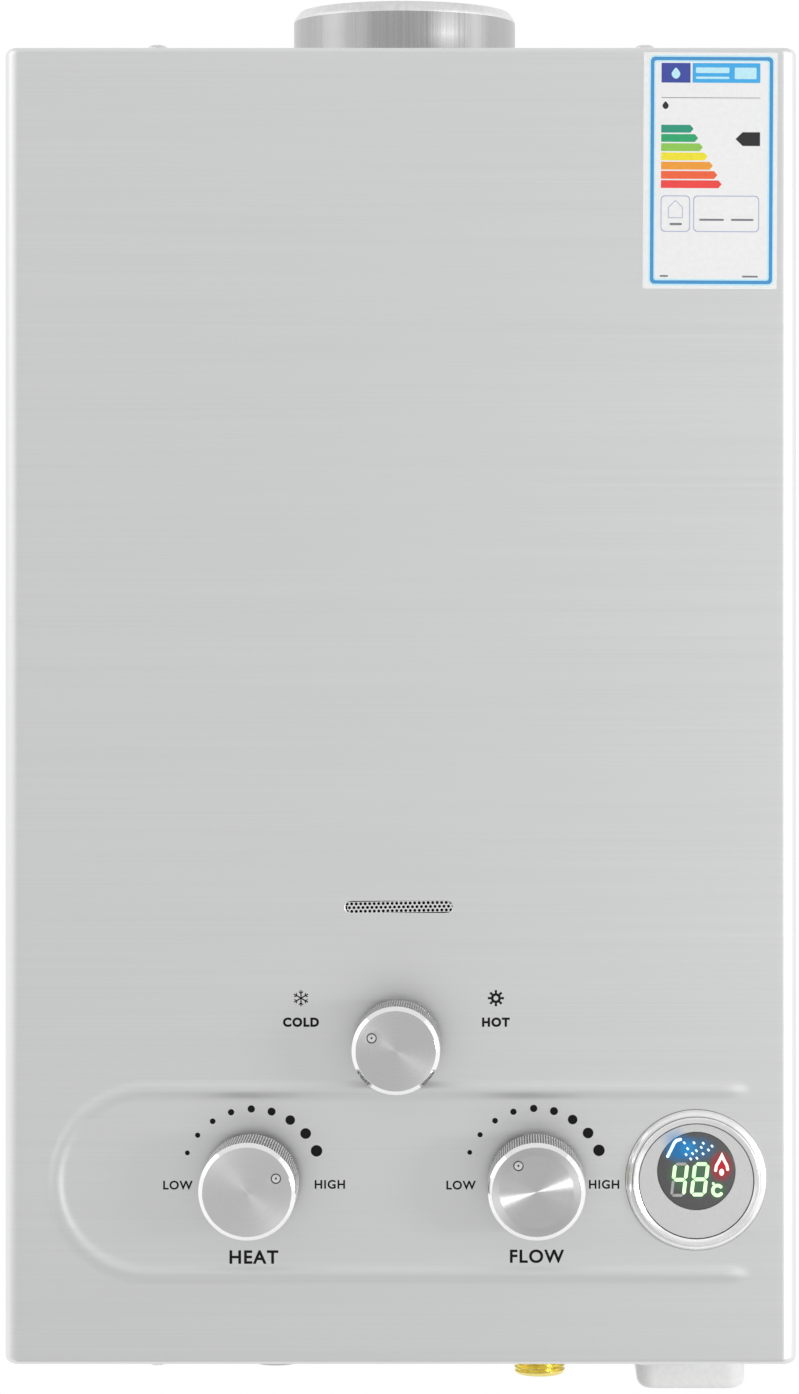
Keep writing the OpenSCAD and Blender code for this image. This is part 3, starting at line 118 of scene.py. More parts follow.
def weld(mesh, outward=True, reach=2e-6):
    """Merges points closer than reach, drops empty cells, and turns a closed shell's faces outwards."""
    work = bmesh.new()
    work.from_mesh(mesh)
    bmesh.ops.remove_doubles(work, verts=work.verts, dist=reach)
    bmesh.ops.dissolve_degenerate(work, edges=work.edges, dist=reach / 4)
    if outward:
        bmesh.ops.recalc_face_normals(work, faces=work.faces)
    work.to_mesh(mesh)
    work.free()


def linked(name, data):
    """A new object in the scene."""
    made = bpy.data.objects.new(name, data)
    bpy.context.scene.collection.objects.link(made)
    return made


def piece(name, mesh, finishes, stands_for=(), crease=32, body="heater"):
    """Links a mesh as a piece: its materials, the body it rides on, the node it stands for, soft shading."""
    mesh.polygons.foreach_set("use_smooth", np.ones(len(mesh.polygons), bool))
    mesh.set_sharp_from_angle(angle=math.radians(crease))
    made = linked(name, mesh)
    for finish in finishes:
        mesh.materials.append(finish)
    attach(made, body)
    if stands_for:
        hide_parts(*stands_for)
    print(f"{name}: {len(mesh.vertices)} points, {len(mesh.polygons)} faces")
    return made


def welded(name, grids, finishes, stands_for=(), crease=32, kinds=None, body="heater"):
    """Grids as one closed piece, welded where they meet; kinds gives each grid's material number."""
    mesh = mesh_of(name, grids, kinds)
    weld(mesh)
    return piece(name, mesh, finishes, stands_for, crease, body)


def full_turn(steps):
    """Angles of a full turn in even steps, the last one step short of the first."""
    return np.linspace(0, 2 * np.pi, steps, endpoint=False)


def toward(degrees):
    """A step of length 1 at an angle."""
    return np.array([math.cos(math.radians(degrees)), math.sin(math.radians(degrees))])


def spun(profile, centre, axis, steps):
    """Profile of (radius, height) rows carried round an axis through centre.
    Axis 'y' points out of the front panel, 'z' points up."""
    rows = np.asarray(profile, float)
    r, h = rows[:, :1], rows[:, 1:]
    u, v = r * np.cos(full_turn(steps)), r * np.sin(full_turn(steps))
    if axis == "y":
        return sheet_of(centre[0] + u, centre[1] - h, centre[2] + v)
    return sheet_of(centre[0] + u, centre[1] + v, centre[2] + h)


# %% [markdown]
# The photograph was taken level, from a little above the middle of the heater and far away, so
# all its edges stay parallel. A level camera with a shift gives the same view, where a tilted one
# would make the sides lean. The knobs' faces sit a little left of their dials, so the camera
# stands 40 mm to the right of the middle, still square to the panel, and shifts back to it.

# %% Camera
CAMERA_AT, SENSOR_MM, LENS_MM, SHIFT = (0.040, -1.840, 0.057), 36, 112.3, (-0.0741, -0.0981)
scene = bpy.context.scene
camera = linked("camera", bpy.data.cameras.new("camera"))
camera.location = CAMERA_AT
camera.rotation_euler = (math.radians(90), 0, 0)
camera.data.sensor_width = SENSOR_MM
camera.data.lens = LENS_MM
camera.data.shift_x, camera.data.shift_y = SHIFT
camera.data.clip_end = 50
scene.camera = camera
print("camera at", tuple(round(v, 3) for v in camera.location))

# %% [markdown]
# The heater hangs in a bright studio: white all round, a darker end of the room behind the camera,
# two soft lamps on the right and a fainter one on the left. Metal shows whatever stands around it, so
# the dark end is what makes the flat panel grey while the rounded folds at its sides stay bright.

# %% World, floor and lamps
def blank(name):
    """A new material and its tree, Principled shader ready."""
    material = bpy.data.materials.new(name)
    material.use_nodes = True
    return material, material.node_tree, material.node_tree.nodes["Principled BSDF"]


def give(socket, value):
    """Feeds an input from another socket of its tree, or sets it to a constant."""
    if isinstance(value, bpy.types.NodeSocket):
        socket.id_data.links.new(value, socket)
    else:
        socket.default_value = value


def feed(node, **values):
    """Gives each named input its value; an underscore stands for a blank."""
    for key, value in values.items():
        give(node.inputs[key.replace("_", " ")], value)


def grown(tree, kind, **values):
    """A new shader node of a kind, its inputs fed."""
    node = tree.nodes.new("ShaderNode" + kind)
    feed(node, **values)
    return node


def computed(operation, a, b):
    """Two values put together by one operation of arithmetic."""
    node = grown(a.id_data, "Math")
    node.operation = operation
    give(node.inputs[0], a)
    give(node.inputs[1], b)
    return node.outputs[0]


def length_of(vector):
    """How long a vector is."""
    node = grown(vector.id_data, "VectorMath", Vector=vector)
    node.operation = "LENGTH"
    return node.outputs["Value"]


def any_ray(tree, names):
    """1 where the ray is one of the named kinds, worked out with a chain of maximums."""
    path = grown(tree, "LightPath")
    out = path.outputs[names[0]]
    for name in names[1:]:
        out = computed("MAXIMUM", out, path.outputs[name])
    return out


def spread(value, low, high, start=0.0, end=1.0):
    """Moves a value's range from start..end to low..high, held inside it."""
    ends = {"From_Min": start, "From_Max": end, "To_Min": low, "To_Max": high}
    return grown(value.id_data, "MapRange", Value=value, **ends).outputs["Result"]


SEEN = ["Is Camera Ray", "Is Glossy Ray", "Is Transmission Ray"]
ROOM_LIGHT = 0.72
scene.view_settings.view_transform = "Standard"
world = bpy.data.worlds.new("white_room")
world.use_nodes = True
scene.world = world
room = world.node_tree
feed(room.nodes["Background"], Color=(1, 1, 1, 1),
     Strength=spread(any_ray(room, SEEN), ROOM_LIGHT, 1.0))

FLOOR_Z, FLOOR_REACH, FLOOR_GREY = -0.42, 9, 0.9
FLOOR_SHADE, FLOOR_WHITE = (0.45, 0.34), (1.0, 0.58)
floor_mesh = bpy.data.meshes.new("floor")
corners = [(x * FLOOR_REACH, y * FLOOR_REACH, FLOOR_Z) for x, y in ((-1, -1), (1, -1), (1, 1), (-1, 1))]
floor_mesh.from_pydata(corners, [], [(0, 1, 2, 3)])
floor = linked("floor", floor_mesh)
pale, tree, plain = blank("pale_floor")
glow, blend = grown(tree, "Emission"), grown(tree, "MixShader")
feed(plain, Base_Color=(FLOOR_GREY, FLOOR_GREY, FLOOR_GREY, 1), Roughness=0.9)
far = length_of(grown(tree, "TexCoord").outputs["Object"])
fade = spread(far, FLOOR_SHADE[0], FLOOR_WHITE[0], FLOOR_SHADE[1], FLOOR_WHITE[1])
mix_by = computed("MULTIPLY", fade, any_ray(tree, SEEN))
for number, value in enumerate((mix_by, plain.outputs[0], glow.outputs[0])):
    give(blend.inputs[number], value)
feed(tree.nodes["Material Output"], Surface=blend.outputs[0])
floor_mesh.materials.append(pale)


def card(name, line, ends, level, turn=0.0):
    """A bent card of plain light that only glossy rays see: a line of (y, z) points drawn out sideways
    between two ends, then turned about the upright axis."""
    mesh = bpy.data.meshes.new(name)
    c, s = math.cos(turn), math.sin(turn)
    mesh.from_pydata([(x * c - y * s, x * s + y * c, z) for y, z in line for x in ends], [],
                     [(2 * i, 2 * i + 1, 2 * i + 3, 2 * i + 2) for i in range(len(line) - 1)])
    finish, tree, _ = blank(name)
    tree.nodes.clear()
    shine = grown(tree, "Emission", Color=(level, level, level, 1))
    grown(tree, "OutputMaterial", Surface=shine.outputs[0])
    mesh.materials.append(finish)
    made = linked(name, mesh)
    made.visible_camera = made.visible_diffuse = made.visible_shadow = False


card("dark_floor", [(-0.24, -0.41), (-0.9, -0.41)], (-1.2, 0.40), 0.60)
card("dark_end", [(-0.9, -0.41), (-2.5, -0.41), (-2.7, -0.3), (-2.7, 1.5)], (-1.9, 1.9), 0.66)
card("ceiling", [(-2.6, 1.9), (-1.5, 2.1), (1.5, 2.1)], (-2.4, 2.4), 0.80)
card("bright_board", [(-2.1, 0.36), (-2.1, 0.95)], (-0.42, 0.42), 1.35, math.radians(45))
LAMPS_LOOK_AT = (0, -0.14, 0)


def soft_box(name, at, size, watts):
    """An area lamp of a width and a height at a point, turned to the front panel, hidden from the camera."""
    lamp = bpy.data.lights.new(name, "AREA")
    lamp.shape, lamp.size, lamp.size_y, lamp.energy = "RECTANGLE", size[0], size[1], watts
    box = linked(name, lamp)
    box.location = at
    box.rotation_euler = (Vector(at) - Vector(LAMPS_LOOK_AT)).to_track_quat("Z", "Y").to_euler()
    box.visible_camera = False


soft_box("soft_box_right", (1.65, -1.60, -0.06), (0.7, 0.30), 17)
soft_box("strip_right", (2.2, -0.45, 0.0), (0.5, 2.4), 2.2)
soft_box("soft_box_left", (-2.1, -0.50, 0.9), (1.0, 1.4), 1.9)
print("floor at", FLOOR_Z, "m, room light", ROOM_LIGHT)

# %% [markdown]
# Most finishes start from one idea: noise read in the piece's own coordinates and stretched along
# the way the metal was worked. The same noise moves the colour, the roughness and a slight bump
# together, as a real scratch does. A painted image would need unwrapping; this needs none.

# %% Finishes
GRAIN_LOW, GRAIN_HIGH, BUMP_DEPTH = 0.3, 0.7, 2e-5


def placed(tree, stretch, centre=(0, 0, 0)):
    """The piece's own coordinates, with centre as the origin, stretched by one number or three."""
    stretch = np.broadcast_to(stretch, 3).tolist()
    where = grown(tree, "TexCoord").outputs["Object"]
    away = [-c * s for c, s in zip(centre, stretch)]
    return grown(tree, "Mapping", Vector=where, Location=away, Scale=stretch).outputs["Vector"]


def noise(vector):
    """Plain noise on a vector, one speck per unit."""
    node = grown(vector.id_data, "TexNoise", Vector=vector, Scale=1.0, Detail=3.0, Roughness=0.55)
    return node.outputs["Fac"]


def tint(value, stops):
    """A colour ramp: stops are (position, colour)."""
    node = grown(value.id_data, "ValToRGB", Fac=value)
    ramp = node.color_ramp
    while len(ramp.elements) < len(stops):
        ramp.elements.new(0.5)
    for element, (at, colour) in zip(ramp.elements, stops):
        element.position = at
        element.color = (*colour, 1)
    return node.outputs["Color"]


def grey3(value, warm=0.0):
    """A grey, a touch warmer or cooler."""
    return (value * (1 + warm), value, value * (1 - warm))


def worked(name, low, high, rough, stretch, bumps, metallic=1.0):
    """A finish whose grain is noise, stretched by one number or three, in specks per metre. Low and high
    are the colours at the two ends of the grain; a single number stands for a grey."""
    material, tree, shader = blank(name)
    low, high = (grey3(colour) if isinstance(colour, float) else colour for colour in (low, high))
    grain = noise(placed(tree, stretch))
    colour = tint(grain, [(GRAIN_LOW, low), (GRAIN_HIGH, high)])
    bump = grown(tree, "Bump", Height=grain, Strength=bumps, Distance=BUMP_DEPTH)
    feed(shader, Base_Color=colour, Roughness=spread(grain, *rough, GRAIN_LOW, GRAIN_HIGH),
         Metallic=metallic, Normal=bump.outputs["Normal"])
    return material


brushed = worked("brushed_steel", grey3(0.815, -0.004), grey3(0.845, -0.004), (0.34, 0.42), (5, 30, 2600),
                 0.04)
drawn = worked("drawn_steel", 0.43, 0.50, (0.22, 0.32), (1400, 1400, 5), 0.08)
burnished = worked("burnished_steel", 0.76, 0.86, (0.38, 0.48), (500, 500, 60), 0.03)
bright_zinc = worked("bright_zinc", 0.70, 0.82, (0.2, 0.3), 500, 0.05)
chrome = worked("bright_chrome", 0.91, 0.96, (0.14, 0.22), 300, 0.02, 0.72)
mirror_steel = worked("mirror_steel", 0.93, 1.0, (0.2, 0.3), 500, 0.04)
cast = worked("cast_aluminium", 0.52, 0.64, (0.45, 0.6), 900, 0.25)
copper = worked("bare_copper", (0.60, 0.29, 0.17), (0.80, 0.44, 0.30), (0.25, 0.45), 60, 0.04)
brass = worked("machined_brass", (0.93, 0.74, 0.19), (1.0, 0.89, 0.33), (0.16, 0.3), (240, 240, 900), 0.05)
pressed = worked("pressed_sheet", 0.40, grey3(0.52, 0.01), (0.35, 0.5), 200, 0.08)
spring_wire = worked("spring_wire", 0.55, 0.7, (0.25, 0.35), 800, 0.05)
ceramic = worked("glazed_ceramic", (0.84, 0.81, 0.75), (0.91, 0.89, 0.84), (0.18, 0.28), 150, 0.05, 0.0)
black = worked("black_moulding", 0.02, 0.035, (0.45, 0.6), 1500, 0.2, 0.0)
red = worked("red_moulding", (0.42, 0.03, 0.02), (0.55, 0.05, 0.03), (0.35, 0.5), 900, 0.1, 0.0)
white = worked("white_moulding", grey3(0.78, 0.004), grey3(0.84, 0.004), (0.32, 0.42), 420, 0.08, 0.0)
silver_coat = worked("silver_coat", 0.60, 0.66, (0.38, 0.46), 1800, 0.08, 0.35)
board = worked("green_board", (0.02, 0.13, 0.05), (0.04, 0.22, 0.08), (0.3, 0.5), 300, 0.1, 0.0)
sheath = worked("red_sheath", (0.34, 0.02, 0.02), (0.45, 0.04, 0.03), (0.45, 0.6), 700, 0.1, 0.0)
rubber = worked("black_rubber", 0.025, 0.05, (0.6, 0.75), 900, 0.2, 0.0)
fibre = worked("red_fibre", (0.28, 0.05, 0.04), (0.42, 0.09, 0.06), (0.7, 0.85), 1200, 0.3, 0.0)
jacket = worked("cell_jacket", 0.16, 0.22, (0.3, 0.4), (30, 30, 200), 0.05, 0.6)
ink = worked("black_ink", 0.006, 0.012, (0.45, 0.6), 1500, 0.05, 0.0)
feed(ink.node_tree.nodes["Principled BSDF"], Specular_IOR_Level=0.1)
print("finishes:", len(bpy.data.materials))

# %% [markdown]
# The cover is one sheet of stainless steel, pressed and folded: a flat front, round bends at the
# sides, tight folds above and below, and a low U-shaped bead that stiffens the front. A bevelled
# box could stand in for it, but here the sheet is drawn as the press makes it, front first.

# %% Front panel with its pressed bead
FRONT, EDGE_R, FOLD_R, CORNER_R, SHEET = -140.0, 6.0, 1.8, 3.0, 0.8
HALF_W, HALF_H, FLANGE, SIDE_D = 155.0, 257.5, 22.0, 138.5
FLAT_W, FLAT_H = HALF_W - EDGE_R, HALF_H - FOLD_R
GAS, WATER, SEASON, DISPLAY = (-58.0, -185.0), (53.0, -185.0), (-1.0, -131.0), (115.5, -185.2)
SLOT = (-0.6, -78.6)
STEM_BOX, STEM_HOLE, SLOT_BOX, SLOT_RUN, SLOT_R = 9, 6, (23.6, 5), 18.7, 2.3
DISPLAY_BOX, DISPLAY_HOLE = 27, 23.35
BEAD_Z, BEAD_R, BEAD_LEFT, BEAD_RIGHT, BEAD_H, BEAD_HALF = -186.0, 36.0, -98.7, 127.1, 0.72, 4.1
RUN_OUT, CORNER_STEPS = 2.6, 8
BEAD_START, BEAD_STOP, BEAD_MARGIN = -139.5, (131, 141), 4.5


def lines(stops, gaps):
    """Grid lines from stop to stop, each span cut evenly into steps no longer than its gap."""
    spans = [np.linspace(a, b, math.ceil((b - a) / g), endpoint=False)
             for a, b, g in zip(stops, stops[1:], gaps)]
    return np.concatenate(spans + [np.array(stops[-1:])])


def bead_rise(x, z):
    """Height of the pressed bead: a squared cosine of the distance to a U of two legs and a half ring.
    Past the legs' ends the distance along x is divided by RUN_OUT, so the bead closes with a long dome."""
    off = np.abs(z - BEAD_Z)
    leg = np.abs(off - BEAD_R)
    bend = np.abs(np.hypot(x - BEAD_LEFT, off) - BEAD_R)
    end = np.hypot((x - BEAD_RIGHT) / RUN_OUT, off - BEAD_R)
    away = np.where(x < BEAD_LEFT, bend, np.where(x > BEAD_RIGHT, end, leg))
    return BEAD_H * np.cos(np.pi / 2 * np.minimum(away / BEAD_HALF, 1)) ** 2


def window(xs, zs, box, half_run, radius):
    """Ring of cells between a rectangle of grid lines and a slot: each border point runs to the
    nearest point of the slot's outline, which is a circle where half_run is 0."""
    x0, x1, z0, z1 = box
    bx, bz = xs[(xs >= x0) & (xs <= x1)], zs[(zs >= z0) & (zs <= z1)]
    rim_x = np.concatenate([bx[:-1], np.full(len(bz) - 1, x1), bx[:0:-1], np.full(len(bz) - 1, x0)])
    rim_z = np.concatenate([np.full(len(bx) - 1, z0), bz[:-1], np.full(len(bx) - 1, z1), bz[:0:-1]])
    cx, cz = (x0 + x1) / 2, (z0 + z1) / 2
    near = np.clip(rim_x, cx - half_run, cx + half_run)
    reach = np.hypot(rim_x - near, rim_z - cz)
    hole_x, hole_z = near + radius * (rim_x - near) / reach, cz + radius * (rim_z - cz) / reach
    t = np.linspace(0, 1, 7)[:, None] ** 0.8
    x, z = rim_x + t * (hole_x - rim_x), rim_z + t * (hole_z - rim_z)
    return sheet_of(x, FRONT - bead_rise(x, z), z)


def around(centre, half_x, half_z):
    """A rectangle round a centre."""
    return centre[0] - half_x, centre[0] + half_x, centre[1] - half_z, centre[1] + half_z


holes = [(around(stem, STEM_BOX, STEM_BOX), 0, STEM_HOLE) for stem in (GAS, WATER, SEASON)]
holes += [(around(DISPLAY, DISPLAY_BOX, DISPLAY_BOX), 0, DISPLAY_HOLE),
          (around(SLOT, *SLOT_BOX), SLOT_RUN, SLOT_R)]
gas_box, water_box, season_box, round_box, slot_box = (box for box, _, _ in holes)
leg_rows = [BEAD_Z + side * BEAD_R + edge for side in (-1, 1) for edge in (-BEAD_MARGIN, BEAD_MARGIN)]
xs = lines([-FLAT_W, BEAD_START, BEAD_LEFT, *gas_box[:2], slot_box[0], *season_box[:2], slot_box[1],
            *water_box[:2], round_box[0], *BEAD_STOP, round_box[1], FLAT_W],
           [3, 0.75, 4, 2, 5, 3, 2, 3, 5, 2, 5, 2, 0.75, 2, 3])
zs = lines([-FLAT_H, *leg_rows[:2], round_box[2], *gas_box[2:], round_box[3], *leg_rows[2:],
            *season_box[2:], *slot_box[2:], FLAT_H],
           [4, 0.75, 1.5, 1.5, 1.5, 1.5, 1.5, 0.75, 3, 2, 6, 1.2, 9])
gx, gz = np.meshgrid(xs, zs)
panel_points, panel_cells = sheet_of(gx, FRONT - bead_rise(gx, gz), gz, wrap=False)
middle = panel_points[panel_cells].mean(1) / MM
solid = np.ones(len(panel_cells), bool)
for (x0, x1, z0, z1), _, _ in holes:
    solid &= ~((middle[:, 0] > x0) & (middle[:, 0] < x1) & (middle[:, 2] > z0) & (middle[:, 2] < z1))
panel = [(panel_points, panel_cells[solid])] + [window(xs, zs, *hole) for hole in holes]
print("panel grid", len(xs), "x", len(zs), "with", len(holes), "openings")

# %% [markdown]
# Round the flat front the sheet turns back. Each ring of the fold is a rounded rectangle: the side
# bend grows along a quarter circle of 6 mm, the fold above and below along one of 1.8 mm. The
# flanges stop after 22 mm, and only the two sides run on to the wall. Solidify gives the gauge.

# %% Folds and sides
def fold_ring(d):
    """Half width, half height and corner radius of the cover at depth d behind the front."""
    w = FLAT_W + np.sqrt(np.maximum(EDGE_R**2 - np.maximum(EDGE_R - d, 0) ** 2, 0))
    h = FLAT_H + np.sqrt(np.maximum(FOLD_R**2 - np.maximum(FOLD_R - d, 0) ** 2, 0))
    return w, h, np.minimum(CORNER_R, w - FLAT_W)


def fold_rows(depth):
    """Rings at the depths, run anticlockwise seen from the front; also the columns of the two sides."""
    d = np.asarray(depth, float)[:, None]
    w, h, r = fold_ring(d)
    inner_w, inner_h = (w - r) / FLAT_W, (h - r) / FLAT_H
    quarter = np.linspace(0, np.pi / 2, CORNER_STEPS + 1)[None, :]
    row_x, row_z = xs[None, 1:-1], zs[None, 1:-1]
    flat = np.zeros_like(row_x)
    runs_x, runs_z = [], []
    for turn, side in ((-np.pi / 2, "right"), (0, "top"), (np.pi / 2, "left"), (np.pi, "bottom")):
        a = quarter + turn
        sx, sz = np.sign(np.cos(turn + np.pi / 4)), np.sign(np.sin(turn + np.pi / 4))
        runs_x.append(sx * (w - r) + r * np.cos(a))
        runs_z.append(sz * (h - r) + r * np.sin(a))
        along_x = {"right": w + 0 * row_z, "left": -w + 0 * row_z,
                   "top": inner_w * row_x[:, ::-1], "bottom": inner_w * row_x}
        along_z = {"right": inner_h * row_z, "left": inner_h * row_z[:, ::-1],
                   "top": h + flat, "bottom": -h + flat}
        runs_x.append(along_x[side])
        runs_z.append(along_z[side])
    counts = np.cumsum([0] + [run.shape[1] for run in runs_x])
    half = CORNER_STEPS // 2
    right = np.arange(counts[0] + half, counts[2] + half + 1)
    left = np.arange(counts[4] + half, counts[6] + half + 1)
    x, z = np.concatenate(runs_x, 1), np.concatenate(runs_z, 1)
    return x, FRONT + d + 0 * x, z, right, left


bend_angle = np.linspace(0, np.pi / 2, 11)
bend_depth = np.unique(np.round(np.concatenate(
    [EDGE_R * (1 - np.cos(bend_angle)), FOLD_R * (1 - np.cos(bend_angle)), [10, 16, FLANGE]]), 4))
fx, fy, fz, _, _ = fold_rows(bend_depth)
folds = [sheet_of(fx, fy, fz, turn=True)]
sx, sy, sz, right, left = fold_rows([FLANGE, 50, 80, 110, SIDE_D])
folds += [sheet_of(sx[:, side], sy[:, side], sz[:, side], wrap=False, turn=True) for side in (right, left)]
cover_mesh = mesh_of("cover", panel + folds)
weld(cover_mesh, outward=False)
cover = piece("cover_sheet", cover_mesh, [brushed], ["front_cover"], crease=40)
gauge = cover.modifiers.new("gauge", "SOLIDIFY")
gauge.thickness, gauge.offset = SHEET * MM, -1
print("cover folds", fx.shape, "rings")

# %% [markdown]
# The dial marks are printed. A print has hardly any height, so each mark is a slab a twentieth of
# a millimetre thick that lies on the steel: thick enough to have its own ink, too thin to cast an
# edge. Nine dots grow from left to right round each of the two lower knobs.

# %% Printed dots, words and signs
PRINT = 0.05


def on_front(flat, height):
    """Closed grid of (x, z) points, each at its height before the panel."""
    return sheet_of(flat[..., 0], FRONT - height, flat[..., 1])


def slab(outline, low, high):
    """Flat closed slab on the front: an outline of (x, z) rows, drawn to its middle, between two heights."""
    edge = np.asarray(outline, float)
    core = np.broadcast_to(edge.mean(0), edge.shape)
    return on_front(np.stack([core, edge, edge, core]), np.array([high, high, low, low])[:, None])


def ring_slab(outer, inner, low, high):
    """Closed frame between two outlines with the same number of points."""
    ring = np.stack([outer, outer, inner, inner, outer])
    return on_front(ring, np.array([low, high, high, low, low])[:, None])


def disc(x, z, r, n=40):
    """Points of a circle."""
    a = full_turn(n)
    return np.stack([x + r * np.cos(a), z + r * np.sin(a)], -1)


def way_of(a, b, width):
    """Unit step from a to b, and half a width to the left of it."""
    along = (b - a) / np.hypot(*(b - a))
    return along, np.array([-along[1], along[0]]) * width / 2


def stroke(a, b, width):
    """Points of a straight bar from a to b."""
    a, b = np.asarray(a, float), np.asarray(b, float)
    _, side = way_of(a, b, width)
    return np.stack([a - side, b - side, b + side, a + side])


def rounded(x0, x1, z0, z1, r, n=6):
    """Points of a rounded rectangle, n to a corner."""
    a = np.linspace(0, np.pi / 2, n)
    corners = ((x1 - r, z0 + r, -np.pi / 2), (x1 - r, z1 - r, 0), (x0 + r, z1 - r, np.pi / 2),
               (x0 + r, z0 + r, np.pi))
    return np.concatenate([np.stack([x + r * np.cos(a + t), z + r * np.sin(a + t)], -1)
                           for x, z, t in corners])


def lettering(words, cap, weight, x, z, low, high):
    """Words as a closed flat mesh: a text curve made a mesh, scaled to the cap height and centred.
    Weight is how far the outline is drawn outwards, as a share of the letter's size."""
    curve = bpy.data.curves.new("words", "FONT")
    curve.body, curve.extrude, curve.resolution_u = words, 0.1, 6
    curve.offset, curve.space_character = weight, 1.08 + 2 * weight
    carrier = linked("words", curve)
    mesh = bpy.data.meshes.new_from_object(carrier.evaluated_get(bpy.context.evaluated_depsgraph_get()))
    bpy.data.objects.remove(carrier)
    co = np.empty(len(mesh.vertices) * 3, np.float32)
    mesh.vertices.foreach_get("co", co)
    co = co.reshape(-1, 3)
    size = cap / np.ptp(co[:, 1])
    mid = (co.max(0) + co.min(0)) / 2
    flat = np.stack([x + (co[:, 0] - mid[0]) * size, FRONT - np.where(co[:, 2] > 0, high, low),
                     z + (co[:, 1] - mid[1]) * size], -1)
    mesh.vertices.foreach_set("co", (flat * MM).astype(np.float32).ravel())
    mesh.update()
    return mesh


def printed(name, grids, finish):
    """Slabs of one finish as a welded piece on the heater."""
    return welded(name, grids, [finish])


DIALS, DIAL_R, DIAL_ENDS = ((-57.9, -184.9), (52.5, -184.7)), 27.4, (158.1, 23.7)
DOT_SIZES = [1.88, 2.03, 2.23, 2.46, 2.85, 3.13, 3.75, 4.18, 4.50]
dot_turn = np.radians(np.linspace(*DIAL_ENDS, len(DOT_SIZES)))
dots = [slab(disc(x + DIAL_R * math.cos(a), z + DIAL_R * math.sin(a), size / 2), 0, PRINT)
        for x, z in DIALS for a, size in zip(dot_turn, DOT_SIZES)]
printed("dial_dots", dots, ink)

SMALL, LARGE, BOLD = (3.5, 0.026), (5.3, 0.026), (3.7, 0.05)
WORDS = [("LOW", SMALL, -87.0, -187.3), ("HIGH", SMALL, -27.6, -187.0), ("LOW", SMALL, 23.7, -187.3),
         ("HIGH", SMALL, 79.6, -187.0), ("HEAT", LARGE, -57.3, -215.4), ("FLOW", LARGE, 53.4, -215.1),
         ("COLD", BOLD, -38.9, -123.6), ("HOT", BOLD, 37.3, -123.6)]
for number, (words, style, x, z) in enumerate(WORDS):
    piece(f"legend_{number}", lettering(words, *style, x, z, 0, PRINT), [ink])


def frost_sign(cx, cz, r):
    """Six arms, each with one pair of twigs near its tip."""
    arm_w, twig_w, twig_at, twig_l, lean = 0.46, 0.38, 0.58, 0.36, 48
    hub, grids = np.array([cx, cz]), []
    for turn in range(30, 390, 60):
        root = hub + twig_at * r * toward(turn)
        grids.append(slab(stroke(hub, hub + r * toward(turn), arm_w), 0, PRINT))
        for side in (-lean, lean):
            grids.append(slab(stroke(root, root + twig_l * r * toward(turn + side), twig_w), 0, PRINT))
    return grids


def sun_sign(cx, cz, r):
    """A thick ring with eight stout rays: one outline whose radius jumps between ring and ray."""
    steps, ray_half, ray_edge, ring_r, hole_r = 320, 0.19, 0.03, 0.62, 0.3
    turn = full_turn(steps)
    beside = np.abs((turn + np.pi / 8) % (np.pi / 4) - np.pi / 8)
    far = np.clip((ray_half - beside) / ray_edge, 0, 1)
    reach = r * (ring_r + (1 - ring_r) * far)
    edge = np.stack([cx + reach * np.cos(turn), cz + reach * np.sin(turn)], -1)
    return [ring_slab(edge, disc(cx, cz, hole_r * r, steps), 0, PRINT)]


printed("season_signs", frost_sign(-38.9, -114.2, 3.15) + sun_sign(37.3, -114.2, 3.15), ink)

# %% [markdown]
# A paper label hangs in the upper right corner of the panel, the kind that rates an appliance from
# good to poor. It is a sheet a tenth of a millimetre thick with flat shapes printed on it: a frame,
# a heading, seven bars that grow, a pennant beside them and two boxes. No shape needs a picture.

# %% Rating label
LABEL_AT, LABEL_W, LABEL_H, LABEL_TURN = np.array([121.1, 209.3]), 52.4, 92.4, math.radians(-0.3)
PAPER = 0.1


def screen(r, g, b):
    """A printer's colour, given on the scale of a screen from 0 to 255, as plain amounts of light."""
    return tuple(((c / 255 + 0.055) / 1.055) ** 2.4 for c in (r, g, b))


def on_label(outline):
    """Outline of (right, down) millimetres from the sheet's top left corner, turned and laid on the panel."""
    flat = np.asarray(outline, float) * (1, -1) + (-LABEL_W / 2, LABEL_H / 2)
    c, s = math.cos(LABEL_TURN), math.sin(LABEL_TURN)
    return flat @ np.array([[c, s], [-s, c]]) + LABEL_AT


def box_on(x0, x1, y0, y1, r):
    """Rounded box on the label."""
    return on_label(rounded(x0, x1, y0, y1, r))


def frame_on(x0, x1, y0, y1, r, line, high):
    """Rounded frame on the label, as thick as its line."""
    inner = box_on(x0 + line, x1 - line, y0 + line, y1 - line, r - line / 2)
    return ring_slab(box_on(x0, x1, y0, y1, r), inner, PAPER, high)


def label_ink(name, colour):
    """Ink soaked into paper: the colour, a little uneven."""
    full = screen(*colour)
    return worked(name, [0.92 * c for c in full], full, (0.45, 0.6), 700, 0.03, 0.0)


